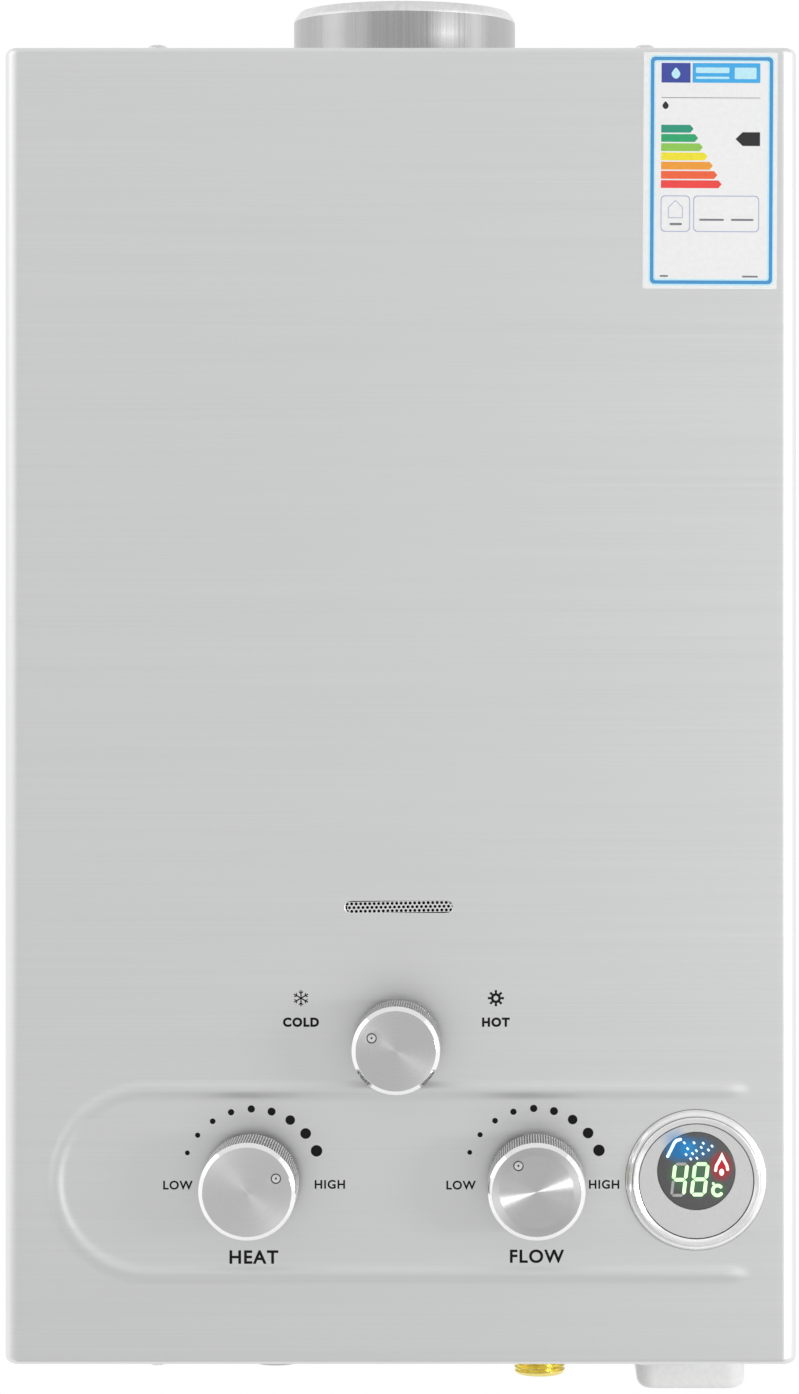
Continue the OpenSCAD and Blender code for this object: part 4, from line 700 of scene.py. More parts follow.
paper = worked("label_paper", 0.80, 0.84, (0.5, 0.65), 500, 0.05, 0.0)
printed("label_sheet", [slab(box_on(0, LABEL_W, 0, LABEL_H, 0.6), 0, PAPER)], paper)
UNDER, OVER = PAPER + 0.02, PAPER + 0.04
LEFT_EDGE, RIGHT_EDGE, HEAD_TOP, HEAD_FOOT = 6.95, 45.6, 4.15, 11.85
BAR_TOP, BAR_FOOT, BAR_STEP, BAR_TIP = 28.35, 31.4, 3.61, 1.3
BAR_ENDS = [19.6, 21.4, 23.3, 25.2, 27.2, 29.0, 30.7]
BAR_INKS = [(22, 150, 120), (25, 165, 105), (140, 200, 75), (240, 225, 30), (240, 155, 35), (240, 95, 45),
            (240, 60, 55)]
OTHER_INKS = [(62, 146, 205), (190, 236, 248), (52, 68, 160), (52, 170, 232), (30, 30, 32), (168, 174, 205),
              (120, 120, 126)]
inks = [label_ink(f"label_ink_{i}", colour) for i, colour in enumerate(BAR_INKS + OTHER_INKS)]
FRAME_BLUE, PALE_BLUE, DEEP_BLUE, SKY_BLUE, BLACK_INK, LINE_INK, GREY_INK = range(len(BAR_INKS), len(inks))
marks = [(frame_on(2.2, 51.1, 1.15, 91.1, 2.2, 2.5, UNDER), PALE_BLUE),
         (frame_on(2.8, 50.6, 1.75, 90.5, 1.7, 1.35, OVER), FRAME_BLUE)]


def put(outline, ink_number, low=PAPER, high=UNDER):
    """Adds a flat shape to the label's marks."""
    marks.append((slab(on_label(outline), low, high), ink_number))


put(rounded(LEFT_EDGE, 18.3, HEAD_TOP, HEAD_FOOT, 0.2), DEEP_BLUE)
put(rounded(19.1, RIGHT_EDGE, HEAD_TOP, HEAD_FOOT, 0.2), SKY_BLUE)
put(rounded(LEFT_EDGE, RIGHT_EDGE, 17.6, 17.85, 0.1), GREY_INK)
for number, end in enumerate(BAR_ENDS):
    low, high = BAR_TOP + BAR_STEP * number, BAR_FOOT + BAR_STEP * number
    point = [(end - BAR_TIP, low), (end, (low + high) / 2), (end - BAR_TIP, high)]
    put([(LEFT_EDGE, low), *point, (LEFT_EDGE, high)], number)
put([(RIGHT_EDGE, 31.1), (RIGHT_EDGE, 36.5), (38.8, 36.5), (36.0, 33.8), (38.8, 31.1)], BLACK_INK)
for x0, x1 in ((6.85, 18.4), (19.6, 45.4)):
    marks.append((frame_on(x0, x1, 55.95, 70.2, 1.7, 0.36, UNDER), LINE_INK))
turn = full_turn(32)
drop_rows = np.stack([np.sin(turn) * (1 - 0.55 * np.maximum(np.cos(turn), 0)), -1.25 * np.cos(turn)], -1)
put(1.7 * drop_rows + (12.6, 8.15), PALE_BLUE, UNDER, OVER)
put(1.2 * drop_rows + (8.6, 20.7), BLACK_INK)
for box in ((20.4, 33.5, 5.85, 8.05), (20.4, 33.5, 9.45, 10.35), (35.6, 44.1, 5.85, 10.35)):
    put(rounded(*box, 0.4), PALE_BLUE, UNDER, OVER)
for box in ((10.4, 15.2, 66.7, 67.6), (22.0, 31.6, 65.0, 65.8), (34.4, 43.2, 65.0, 65.8),
            (6.6, 9.9, 87.1, 87.8), (38.8, 45.0, 87.2, 87.9)):
    put(rounded(*box, 0.3), GREY_INK)
house = [(9.9, 60.6), (12.65, 57.9), (15.4, 60.6), (15.4, 64.7), (9.9, 64.7), (9.9, 60.6)]
for p, q in zip(house, house[1:]):
    put(stroke(p, q, 0.3), LINE_INK)
printed_grids, printed_inks = zip(*marks)
welded("label_print", printed_grids, inks, kinds=printed_inks)

# %% [markdown]
# A knob is a cap turned from aluminium bar. The tool leaves rings on the face, so light gathers in
# a fan across it: that is anisotropy about the knob's axis. The chamfer was cut last, with a sharp
# tool, and is bright. The ribs of the side are real geometry, a wave added to the radius; their
# colour adds painted shade between them and a painted highlight on their tops.

# %% Knob finishes
# The second value is a painted sheen: how much paler the face's rim is made where it turns rough.
FAN_ENDS, RIM_PAINTED_SHEEN = (14.1, 14.4), 0.12
RINGS_PER_M, RING_PALE, RING_ROUGH = 3200, 0.07, 0.08


def off_axis(tree, centre):
    """Distance of a point from a knob's axis."""
    return length_of(placed(tree, (1, 0, 1), (centre[0] * MM, 0, centre[1] * MM)))


def turned_face(name, centre, rough, level, lay, fan_out, rim_dull):
    """Spun aluminium: rings are noise of the distance to the knob's axis, and gloss fans round it.
    Lay is the slant of the tool marks, as a share of a turn; a quarter puts them along the rings.
    Fan_out is how much longer the gloss is across the marks than along them. The fan ends before the
    edge: rim_dull is added to the roughness there, and the metal's colour is made a little paler there
    too, a painted sheen that stands in for the gloss the rougher rim loses."""
    material, tree, shader = blank(name)
    out = off_axis(tree, centre)
    rings = grown(tree, "TexNoise", Scale=RINGS_PER_M, Detail=3)
    rings.noise_dimensions = "1D"
    feed(rings, W=out)
    for socket, least, most, more in (("Base Color", level, level + RING_PALE, RIM_PAINTED_SHEEN * rim_dull),
                                      ("Roughness", rough, rough + RING_ROUGH, rim_dull)):
        ring = spread(rings.outputs["Fac"], least, most, GRAIN_LOW, GRAIN_HIGH)
        rim = spread(out, 0.0, more, FAN_ENDS[0] * MM, FAN_ENDS[1] * MM)
        give(shader.inputs[socket], computed("ADD", ring, rim))
    fan = grown(tree, "Tangent")
    fan.direction_type, fan.axis = "RADIAL", "Y"
    feed(shader, Metallic=1, Anisotropic=fan_out, Anisotropic_Rotation=lay,
         Tangent=fan.outputs["Tangent"])
    return material


def painted_rib_side(name, centre, radius, valley_shade, crest_highlight):
    """Side of a knob: painted shade down between its ribs and a painted highlight on their tops."""
    material, tree, shader = blank(name)
    level = spread(off_axis(tree, centre), 0.0, 1.0, (radius - KNURL_DEPTH) * MM, radius * MM)
    colour = tint(level, [(0.15, grey3(valley_shade)), (0.55, grey3(0.42)), (0.9, grey3(crest_highlight))])
    grain = noise(placed(tree, (900, 120, 900)))
    feed(shader, Base_Color=colour, Roughness=spread(grain, 0.22, 0.34, GRAIN_LOW, GRAIN_HIGH),
         Metallic=1)
    return material


KNURLS, KNURL_DEPTH, KNOB_BASE, KNOB_TOP = 112, 0.5, 8.0, 35.0
ribbed = worked("ribbed_aluminium", 0.50, 0.60, (0.3, 0.42), (900, 120, 900), 0.06)
# A grey for the bezel's foot, groove and seat: painted shade in the narrow gaps there.
gap_shade = worked("shaded_gap", 0.26, 0.34, (0.35, 0.5), 1500, 0.1)
# Dark metal for the dimple's pit and the lip round it: painted shade in the hollow.
dimple_shade = worked("painted_dimple_shade", 0.10, 0.16, (0.35, 0.5), 1500, 0.1)
cut_edge = worked("cut_edge", 0.92, 0.97, (0.05, 0.10), (1200, 300, 1200), 0.02)
print("finishes with the knobs' own:", len(bpy.data.materials))

# %% [markdown]
# All three knobs are one function. They differ in radius, in finish, and in where the drilled dimple
# points. The face has to close round two centres, so its rings slide from the dimple to the axis.

# %% Three turned knobs
LAND_IN, CHAMFER, CAP_WALL, DIMPLE_IN, DIMPLE_R, FACE_IN = 0.03, 1.5, 1.85, 6.5, 2.0, 0.12


def knob(word, centre, radius, pointer, face, side):
    """Cap from the dimple outwards: pit, cone, lip, face, chamfer, ribbed side, back rim, bore.
    Rings of the face run from a circle round the dimple to a circle round the axis, mixed by t."""
    a = full_turn(6 * KNURLS)[None, :]
    land = radius - LAND_IN
    face_r, shoulder = land - CHAMFER, KNOB_TOP - CHAMFER
    dimple = (radius - DIMPLE_IN) * toward(pointer)
    pit = np.array([(0, 0.5), (0.3, 0.5), (0.45, 0.47)])
    cone = np.array([(0.45, 0.47), (1.4, 0.16), (1.5, 0.15)])
    lip = np.array([(1.5, 0.15), (1.65, 0.22), (1.8, 0.2), (1.92, 0.03), (DIMPLE_R, 0)])
    t = np.linspace(0, 1, 9)[:, None]
    edge = np.array([(face_r - FACE_IN, KNOB_TOP), (face_r - 0.02, KNOB_TOP - 0.05),
                     (face_r + 0.1, KNOB_TOP - 0.16), (land - 0.1, shoulder + 0.1), (land, shoulder - 0.02)])
    rib = KNURL_DEPTH * (0.5 - 0.5 * np.cos(KNURLS * a))
    side_h = np.array([shoulder - 0.02, shoulder - 0.45, 30, 25, 20, 15, KNOB_BASE + 0.4, KNOB_BASE])[:, None]
    plain = np.array([1.0, 0, 0, 0, 0, 0, 0, 0.6])[:, None]
    side_r = (radius - rib) * (1 - plain) + plain * land
    bore = np.array([radius - CAP_WALL, radius - CAP_WALL, 0])[:, None] + 0 * a
    back_h = np.array([KNOB_BASE, KNOB_BASE, shoulder, shoulder])[:, None]

    def laid(r, h, aside=(0, 0)):
        """Rings of a radius at a height, round a point beside the axis."""
        x, z = centre[0] + aside[0] + r * np.cos(a), centre[1] + aside[1] + r * np.sin(a)
        return sheet_of(x, FRONT - h, z)

    grids = [laid(rows[:, :1], KNOB_TOP - rows[:, 1:], dimple) for rows in (pit, cone, lip)]
    grids.append(laid((1 - t) * DIMPLE_R + t * (face_r - FACE_IN), KNOB_TOP, [(1 - t) * d for d in dimple]))
    grids += [laid(edge[:, :1], edge[:, 1:]), laid(side_r, side_h),
              laid(np.concatenate([side_r[-1:], bore]), back_h)]
    # The pit and the lip of the dimple take the dark finish, a painted shade in the hollow.
    finishes = [face, cut_edge, painted_rib_side(word + "_cap_side_painted_shade", centre, radius, *side), dimple_shade]
    return welded(word + "_cap", grids, finishes, [word + "_knob"], crease=24,
                  kinds=[3, 1, 3, 0, 1, 2, 2], body=word + "_control")


# The last pair in each row is the knob side's painted shade between the ribs and painted highlight on their
# tops.
KNOBS = [("gas", GAS, 18.75, 25, (0.33, 0.68, 0.414, 0.62, 0.04), (0.08, 0.90)),
         ("water", WATER, 18.75, 125, (0.33, 0.68, 0.25, 1.0, 0.50), (0.08, 0.86)),
         ("season", SEASON, 17.0, 152, (0.29, 0.64, 0.371, 0.7, 0.04), (0.30, 0.52))]
for word, centre, radius, pointer, face, side in KNOBS:
    knob(word, centre, radius, pointer, turned_face(word + "_face", centre, *face), side)

# %% [markdown]
# The display is a round window held by a bright bezel. The bezel is a ring turned in two steps, so
# one profile carried round its axis makes it. The glowing figures are thin slabs on the dark
# window, in a plain seven-bar style, and soft spots of colour in the window stand for the lamps.

# %% Display bezel and face
def arc(cx, ch, r, start, end, n):
    """Rows (radius, height) along part of a circle in the profile plane."""
    a = np.radians(np.linspace(start, end, n))
    return np.stack([cx + r * np.cos(a), ch + r * np.sin(a)], -1)


bezel_foot = [(23.15, 0.0), (27.65, 0.0), (27.65, 0.12), (27.4, 0.25)]
outer_step = np.concatenate([bezel_foot[-1:], arc(24.65, 0.3, 2.8, 15, 82, 12), [(25.14, 3.0)]])
groove = [outer_step[-1], (25.1, 2.2), (24.96, 2.2), (24.93, 4.5)]
inner_step = np.concatenate([groove[-1:], arc(24.4, 4.5, 0.5, 20, 100, 6),
                             arc(27.46, -5.33, 10.8, 107, 116.5, 9)])
seat = [inner_step[-1], (22.52, 4.3), (22.45, 4.1), (22.42, 3.0), (21.35, 3.0), (21.35, -1.0), (23.15, -1.0),
        (23.15, 0.0)]
bezel = [spun(rows, (DISPLAY[0], FRONT, DISPLAY[1]), "y", 192)
         for rows in (bezel_foot, outer_step, groove, inner_step, seat)]
# The foot, the groove and the seat take the grey of painted shade.
welded("bezel_ring", bezel, [chrome, gap_shade], ["display_bezel"], kinds=[1, 0, 1, 0, 1])
LENS, FACE_H, FACE_BACK = np.array([DISPLAY[0], DISPLAY[1] + 4.0]), 4.0, 2.0
plate = ring_slab(disc(*DISPLAY, 22.2, 96), disc(*LENS, 15.3, 96), FACE_BACK, FACE_H)
welded("face_plate", [plate], [silver_coat], ["display_face"])

# %% [markdown]
# The window is dark glass with lamps behind it. Each lamp is a soft oval of light that also hides the
# glass's grey as it grows. Lamps behind frosted glass could do this too, but here the finish does it all.

# %% Dark window with its lamps
LAMP_CORE, HIDE_MOST, HIDE_PER_LIGHT, PAINTED_GLOW_MOST = 0.55, 0.9, 2.4, 0.75
UNLIT, GREEN_LAMP, PAINTED_GLOW_BLUE = (0.004, 0.004, 0.005, 1), (0.0, 0.085, 0.012), (0.12, 0.34, 0.66, 1)


def glow_spot(tree, dx, dz, rx, rz):
    """1 at a point beside the lens's centre, falling evenly to 0 on an oval round that point."""
    centre = ((LENS[0] + dx) * MM, (FRONT - FACE_H) * MM, (LENS[1] + dz) * MM)
    oval = placed(tree, (1 / (rx * MM), 1 / (rx * MM), 1 / (rz * MM)), centre)
    ball = grown(tree, "TexGradient", Vector=oval)
    ball.gradient_type = "SPHERICAL"
    return ball.outputs["Fac"]


def mixed(blend, factor, a, b):
    """Two colours put together; factor is a socket or a number, and b is a socket or a plain colour."""
    node = grown(a.id_data, "Mix")
    node.data_type, node.blend_type = "RGBA", blend
    for key, value in ((0, factor), (6, a), (7, b)):
        give(node.inputs[key], value)
    return node.outputs[2]


def lamp_window(name, spots):
    """Dark glossy window; each spot adds a soft oval of light and hides the window's grey as it grows."""
    material, tree, shader = blank(name)
    dust = noise(placed(tree, 700))
    grey = tint(dust, [(GRAIN_LOW, grey3(0.085)), (GRAIN_HIGH, grey3(0.097))])
    total = None
    for at, size, colour in spots:
        spot = glow_spot(tree, *at, *size)
        lit = tint(spot, [(0.0, (0, 0, 0)), (LAMP_CORE, colour)])
        total = lit if total is None else mixed("ADD", 1.0, total, lit)
        hidden = spread(spot, 0, min(HIDE_MOST, HIDE_PER_LIGHT * max(colour)), 0, LAMP_CORE)
        grey = mixed("MIX", hidden, grey, UNLIT)
    feed(shader, Base_Color=grey, Roughness=0.22, Emission_Color=total, Emission_Strength=1)
    return material


def glowing(name, low, high, strength):
    """Lit figure: a colour that varies a little, given off as light."""
    material, tree, shader = blank(name)
    lit = tint(noise(placed(tree, 260)), [(GRAIN_LOW, low), (GRAIN_HIGH, high)])
    feed(shader, Base_Color=lit, Emission_Color=lit, Emission_Strength=strength)
    return material


window_glass = lamp_window("lamp_window", [
    ((-6.5, 8.8), (7.5, 6.5), (0.0, 0.15, 0.39)), ((0.5, 8.6), (8.0, 5.5), (0.0, 0.10, 0.24)),
    ((9.7, 1.8), (5.0, 6.6), (0.40, 0.0, 0.012)), ((9.7, 1.4), (2.4, 3.2), (0.12, 0.0, 0.0)),
    ((-6.6, -1.6), (5.2, 6.6), GREEN_LAMP), ((1.2, -3.3), (5.4, 8.4), GREEN_LAMP),
    ((8.4, -7.4), (3.8, 4.2), GREEN_LAMP)])
# The silver face plate gets a soft blue patch above the lens: painted light from the blue lamp.
coat = silver_coat.node_tree
coat_colour = coat.nodes["Principled BSDF"].inputs["Base Color"]
coat_plain = coat_colour.links[0].from_socket
painted_glow = spread(glow_spot(coat, -8.6, 12.6, 6.0, 5.0), 0, PAINTED_GLOW_MOST)
give(coat_colour, mixed("MIX", painted_glow, coat_plain, PAINTED_GLOW_BLUE))
lens_profile = [(0, FACE_H), (14.8, FACE_H), (15.05, FACE_H - 0.1), (15.15, FACE_H - 0.35),
                (15.15, FACE_BACK), (0, FACE_BACK)]
lens = spun(lens_profile, (LENS[0], FRONT, LENS[1]), "y", 128)
welded("lens_window", [lens], [window_glass], ["display_lens"])

# %% [markdown]
# The figures are bars with pointed ends, leaned a little. Two digits and a letter are lit, and the
# first digit's dark bars show as grey. The flame and the shower are bands, strokes and a drop.

# %% Figures in the window
LIT, BAR_GAP, FIGURE_LEAN, LIT_BAR, DARK_BAR = FACE_H + 0.04, 0.18, 0.12, 1.45, 1.1
TENS, UNITS = (-9.7, -5.0, -9.5, 2.7), (-1.9, 3.1, -9.2, 2.7)


def bar_of(a, b, width):
    """A bar with pointed ends, as in a seven-bar figure."""
    along, side = way_of(a, b, width)
    tip = along * width / 2
    return np.stack([a, a + tip - side, b - tip - side, b, b - tip + side, a + tip + side])


def figure(box, bars, width):
    """Seven-bar figure in a box: a top, b and c right, d foot, e and f left, g middle; leaned."""
    x0, x1, z0, z1 = box
    zm = (z0 + z1) / 2
    ends = {"a": (x0, z1, x1, z1), "b": (x1, zm, x1, z1), "c": (x1, z0, x1, zm), "d": (x0, z0, x1, z0),
            "e": (x0, z0, x0, zm), "f": (x0, zm, x0, z1), "g": (x0, zm, x1, zm)}
    made = []
    for key in bars:
        a, b = np.array(ends[key]).reshape(2, 2)
        short = way_of(a, b, width)[0] * BAR_GAP
        points = bar_of(a + short, b - short, width)
        points[:, 0] += FIGURE_LEAN * (points[:, 1] - z0)
        made.append(slab(points + LENS, FACE_H, LIT))
    return made


def ribbon(line, width):
    """One flat band along a line of points beside the lens's centre: a left and a right edge at each
    station, mitred where the line turns, and drawn in along a quarter circle at both ends."""
    mid, r = np.asarray(line, float) + LENS, width / 2
    step = np.diff(mid, axis=0)
    step /= np.hypot(step[:, 0], step[:, 1])[:, None]
    way = np.concatenate([step[:1], step[:-1] + step[1:], step[-1:]])
    way /= np.hypot(way[:, 0], way[:, 1])[:, None]
    half = r / (way * np.concatenate([step[:1], step])).sum(1)
    a = np.linspace(0, np.pi / 2, 5)[:-1]
    reach = r * np.cos(a)[:, None]
    mid = np.concatenate([mid[:1] - way[:1] * reach, mid, mid[-1:] + way[-1:] * reach[::-1]])
    half = np.concatenate([r * np.sin(a), half, r * np.sin(a[::-1])])
    way = np.concatenate([way[:1].repeat(len(a), 0), way, way[-1:].repeat(len(a), 0)])
    side = np.stack([-way[:, 1], way[:, 0]], -1) * half[:, None]
    across = np.stack([mid - side, mid + side, mid + side, mid - side], 1)
    return on_front(across, np.array([LIT, LIT, FACE_H, FACE_H])[None, :])


green_glow = glowing("green_figures", (0.48, 0.88, 0.42), (0.62, 1.0, 0.54), 0.6)
pale_glow = glowing("pale_signs", (0.55, 0.85, 0.95), (0.75, 0.95, 1.0), 0.62)
red_glow = glowing("red_signs", (0.95, 0.66, 0.60), (1.0, 0.82, 0.76), 0.62)
ghost = worked("unlit_bars", 0.36, 0.42, (0.3, 0.4), 900, 0.05, 0.0)
digits = figure(TENS, "fgbc", LIT_BAR) + figure(UNITS, "abcdefg", LIT_BAR)
letter = np.radians(np.linspace(48, 318, 19))
digits.append(ribbon(np.stack([8.25 + 1.85 * np.cos(letter), -7.6 + 1.95 * np.sin(letter)], -1), 1.35))
digits.append(slab(disc(LENS[0] + 6.6, LENS[1] - 4.9, 0.55, 20), FACE_H, LIT))
printed("lit_figures", digits, green_glow)
printed("unlit_figures", figure(TENS, "ade", DARK_BAR), ghost)
flame = ribbon([(7.5, 0.2), (7.8, 2.0), (8.9, 3.9), (9.95, 6.0), (10.9, 4.0), (11.9, 2.2), (12.2, 0.6)], 1.15)
turn = full_turn(24)
drop = np.stack([0.95 * np.cos(turn), 1.35 * np.sin(turn)], -1) + LENS + (9.85, -0.5)
printed("flame_sign", [flame, slab(drop, FACE_H, LIT)], red_glow)
DROPS = [(-4.7, 11), (-0.9, 11), (2.7, 10.8), (6.1, 9.7), (-3.4, 8.7), (1.9, 9.2), (4.7, 8.2), (0, 7.9),
         (-1.5, 6.8), (2.6, 6.7), (-4, 6.4), (-2.2, 4.7), (0.2, 5)]
slant = np.array([-0.35, 0.4])
spray = [slab(stroke(LENS + at + slant, LENS + at - slant, 0.75), FACE_H, LIT) for at in np.array(DROPS)]
spray.append(ribbon([(-11.2, 5.7), (-8.6, 11.0), (-7.6, 12.0), (-6.2, 12.3)], 1.2))
printed("shower_sign", spray, pale_glow)

# %% [markdown]
# Behind the slot in the front lies a strip of perforated sheet, through which the flame is seen.
# Each hole sits in its own square of sheet: a ring of cells from the square's border to the hole.
# Three rows, the middle one half a step aside, lean a little, as the strip on the heater does.

# %% Viewing grille
HOLE_R, PITCH, ROW, COLS, LEAN = 0.6, 1.76, 1.45, 24, math.radians(0.9)
GRILLE_T, RIM_AT, RIM_REACH, RIM_HALF = 0.6, 4.3, 25, 2.0
POST_AT, POST_HALF, POST_BACK, STRIP_ROUND = 23.0, 2.6, 0.05, 0.4


def pierced(cx, cz, n=6):
    """Sheet round one hole: the border of a square PITCH by ROW, n steps to a side, to a circle."""
    t = np.linspace(-0.5, 0.5, n, endpoint=False)
    bx = np.concatenate([t, np.full(n, 0.5), -t, np.full(n, -0.5)]) * PITCH
    bz = np.concatenate([np.full(n, -0.5), t, np.full(n, 0.5), -t]) * ROW
    far = np.hypot(bx, bz)
    border = np.stack([bx, bz], -1)
    front = np.stack([border, border * (HOLE_R / far)[:, None]])
    ring = np.concatenate([front, front[1:], front[:1]])
    x, z = cx + ring[..., 0], cz + ring[..., 1]
    y = FRONT + SHEET + np.array([0, 0, GRILLE_T, GRILLE_T])[:, None]
    turn_x = SLOT[0] + x * math.cos(LEAN) - z * math.sin(LEAN)
    turn_z = SLOT[1] + x * math.sin(LEAN) + z * math.cos(LEAN)
    return sheet_of(turn_x, y, turn_z)


strip = [pierced((i - (COLS - 1) / 2 + (0.5 if row == 0 else 0)) * PITCH, row * ROW)
         for row in (-1, 0, 1) for i in range(COLS)]
back = -SHEET - GRILLE_T
for side in (-1, 1):
    rim = rounded(*around((SLOT[0], SLOT[1] + side * RIM_AT), RIM_REACH, RIM_HALF), STRIP_ROUND)
    post = rounded(*around((SLOT[0] + side * POST_AT, SLOT[1]), RIM_HALF, POST_HALF), STRIP_ROUND)
    strip += [slab(rim, back, -SHEET), slab(post, back, -SHEET - POST_BACK)]
welded("grille_strip", strip, [mirror_steel], ["viewing_grille"])

# %% [markdown]
# Four pan-head screws hold the cover to the frame, two above and two below. The head is a low dome
# with a cross pressed into it. A height over a disc of rings and spokes draws both: the dome falls
# with the radius, and the cross is where either distance to its two middle lines is small.

# %% Cover screws
HEAD_R, HEAD_EDGE, DOME_H, SHANK_R, SHANK_L = 4.0, 1.0, 1.8, 2.0, 8.0
CROSS_HALF, CROSS_REACH, CROSS_DEEP, DOME_R = 0.62, 2.5, 1.1, 4.02


def screw(x, y, z, up):
    """Head and shank of one screw; up is 1 for the top plate and -1 for the floor."""
    spokes = full_turn(96)[None, :]
    r = np.concatenate([np.linspace(0, 3.6, 25), [3.8, 3.93, HEAD_R]])[:, None]
    dome = HEAD_EDGE + DOME_H * np.sqrt(np.maximum(1 - (r / DOME_R) ** 2, 0))
    u, v = r * np.cos(spokes), r * np.sin(spokes)
    arm = np.minimum(np.abs(u), np.abs(v))
    cross = np.clip((CROSS_HALF - arm) / 0.3, 0, 1) * np.clip((CROSS_REACH - r) / 0.4, 0, 1)
    h = dome - CROSS_DEEP * cross
    under = np.array([(HEAD_R, 0), (SHANK_R, 0), (SHANK_R, 0.6 - SHANK_L), (1.4, -SHANK_L), (0, -SHANK_L)])
    u2, v2 = under[:, :1] * np.cos(spokes), under[:, :1] * np.sin(spokes)
    h2 = under[:, 1:] + 0 * u2
    all_u, all_v, all_h = (np.concatenate(pair) for pair in ((u, u2), (v, v2), (h, h2)))
    return sheet_of(x + all_u, y + all_v, z + up * all_h)


SCREW_X, SCREW_Y = 96, -125.5
screws = [screw(x, SCREW_Y, s * HALF_H, s) for x in (-SCREW_X, SCREW_X) for s in (-1, 1)]
welded("pan_head_screws", screws, [bright_zinc], ["cover_screws"])

# %% [markdown]
# The flue collar is a short drawn tube with its mouth drawn in, standing on a flat ring. One closed
# profile carried round the upright axis makes it, with small rounds where the metal turns. The
# roller that draws the mouth in also burnishes it, so the mouth has a brighter finish of its own.

# %% Flue collar
COLLAR_AT = (0, -68.0, 256.7)
collar_body = [(44.2, 18.4), (44.2, 10.0), (44.2, 0.05), (49.0, 0.05), (49.0, 0.7), (48.9, 0.8), (45.3, 0.8),
               (45.06, 0.9), (45.0, 1.15), (45.0, 10.0), (45.0, 18.6)]
collar_mouth = [(45.0, 18.6), (44.9, 19.2), (44.6, 19.9), (43.6, 21.4), (42.7, 22.6), (42.4, 22.8),
                (42.0, 22.8), (41.7, 22.65), (41.75, 22.3), (43.8, 19.3), (44.2, 18.4)]
collar = [spun(rows, COLLAR_AT, "z", 224) for rows in (collar_body, collar_mouth)]
welded("collar_tube", collar, [drawn, burnished], ["flue_collar"], kinds=[0, 1])

# %% [markdown]
# Pipe connections come out of the floor. A half-inch pipe thread has 14 turns to the inch, so the
# radius falls and rises once in 1.814 mm of height, one turn later at each step of the angle: a
# helix without a single curve. Above the floor each has a hexagon and a plain neck.

# %% Threaded connections
THREAD_R, THREAD_P, THREAD_D, BORE_R = 10.4775, 1.814, 1.162, 7.0
SHOULDER, HEX_LOW, HEX_HIGH, HEX_FLAT, CROWN_R, NECK_R = -257.1, -255.9, -246.9, 13.4775, 14.6, 9.48
THREAD_START, LEAD_RUN, LEAD_LEAST, LEAD_CUT, SHOULDER_R = 0.9, 1.6, 0.25, 0.22, 10.98


def connection(name, at, low, high, finish, node):
    """Thread from low up to the shoulder, then shoulder, hexagon, neck, and the bore inside."""
    x, y = at
    a = full_turn(72)[None, :]
    z = np.arange(low + THREAD_START, SHOULDER - 0.5, THREAD_P / 8)[:, None]
    lead = np.clip((z - low - THREAD_START) / LEAD_RUN, LEAD_LEAST, 1)
    wave = 0.5 - 0.5 * np.cos(2 * np.pi * z / THREAD_P - a)
    thread = THREAD_R - THREAD_D * (wave * lead + LEAD_CUT * (1 - lead))
    ends = np.array([(BORE_R, high), (BORE_R, low + 0.5), (BORE_R + 0.4, low), (THREAD_R - 1.5, low),
                     (THREAD_R - 0.9, low + 0.3)])
    tops = np.array([(10.4, SHOULDER - 0.2), (SHOULDER_R, SHOULDER), (SHOULDER_R, HEX_LOW)])
    hexa = HEX_FLAT / np.cos((a + np.pi / 6) % (np.pi / 3) - np.pi / 6)
    crown = np.minimum(hexa, CROWN_R)
    neck = np.array([(NECK_R, HEX_HIGH), (NECK_R, high), (BORE_R, high)])
    hex_h = np.array([HEX_LOW, HEX_LOW + 0.5, HEX_HIGH - 0.5, HEX_HIGH])[:, None]
    r = np.concatenate([ends[:, :1] + 0 * a, thread, tops[:, :1] + 0 * a, crown, hexa, hexa, crown,
                        neck[:, :1] + 0 * a])
    h = np.concatenate([ends[:, 1:], z, tops[:, 1:], hex_h, neck[:, 1:]])
    grid = sheet_of(x + r * np.cos(a), y + r * np.sin(a), h)
    return welded(name, [grid], [finish], [node])


connection("cold_thread", (55, -68), -274.0, -241.9, brass, "cold_inlet")
connection("gas_thread", (-52, -68), -269.5, -241.9, cast, "gas_inlet")
connection("hot_thread", (-112, -35), -272.5, -235.9, brass, "hot_outlet")

# %% [markdown]
# The battery box is a deep moulded cup that stands through the floor of the casing, open below where
# its door is. A block with bevelled edges would be near, but the front corners are rounder than the
# rear ones, where the hinge sits. So the cup is a stack of closed outlines: each has a height, how far
# it is drawn in from the outside, and a share that shrinks it to a point where the cup is closed.

# %% Battery box
BOX_LIP, BOX_WALL, RIM_UP, DOOR_IN, DOOR_GAP = 3.0, 2.0, 3.8, 3.3, 0.4
LIP_LOW, LIP_HIGH = -255.9, -253.9
FRONT_ROUND, REAR_ROUND, FOOT_ROUND, LEAST_ROUND, CORNER_POINTS = 7.5, 3.3, 4.2, 0.3, 10
box_low, box_high = (np.array(corner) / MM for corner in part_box("battery_box"))
box_half, box_mid = (box_high - box_low) / 2 - BOX_LIP, (box_high + box_low) / 2


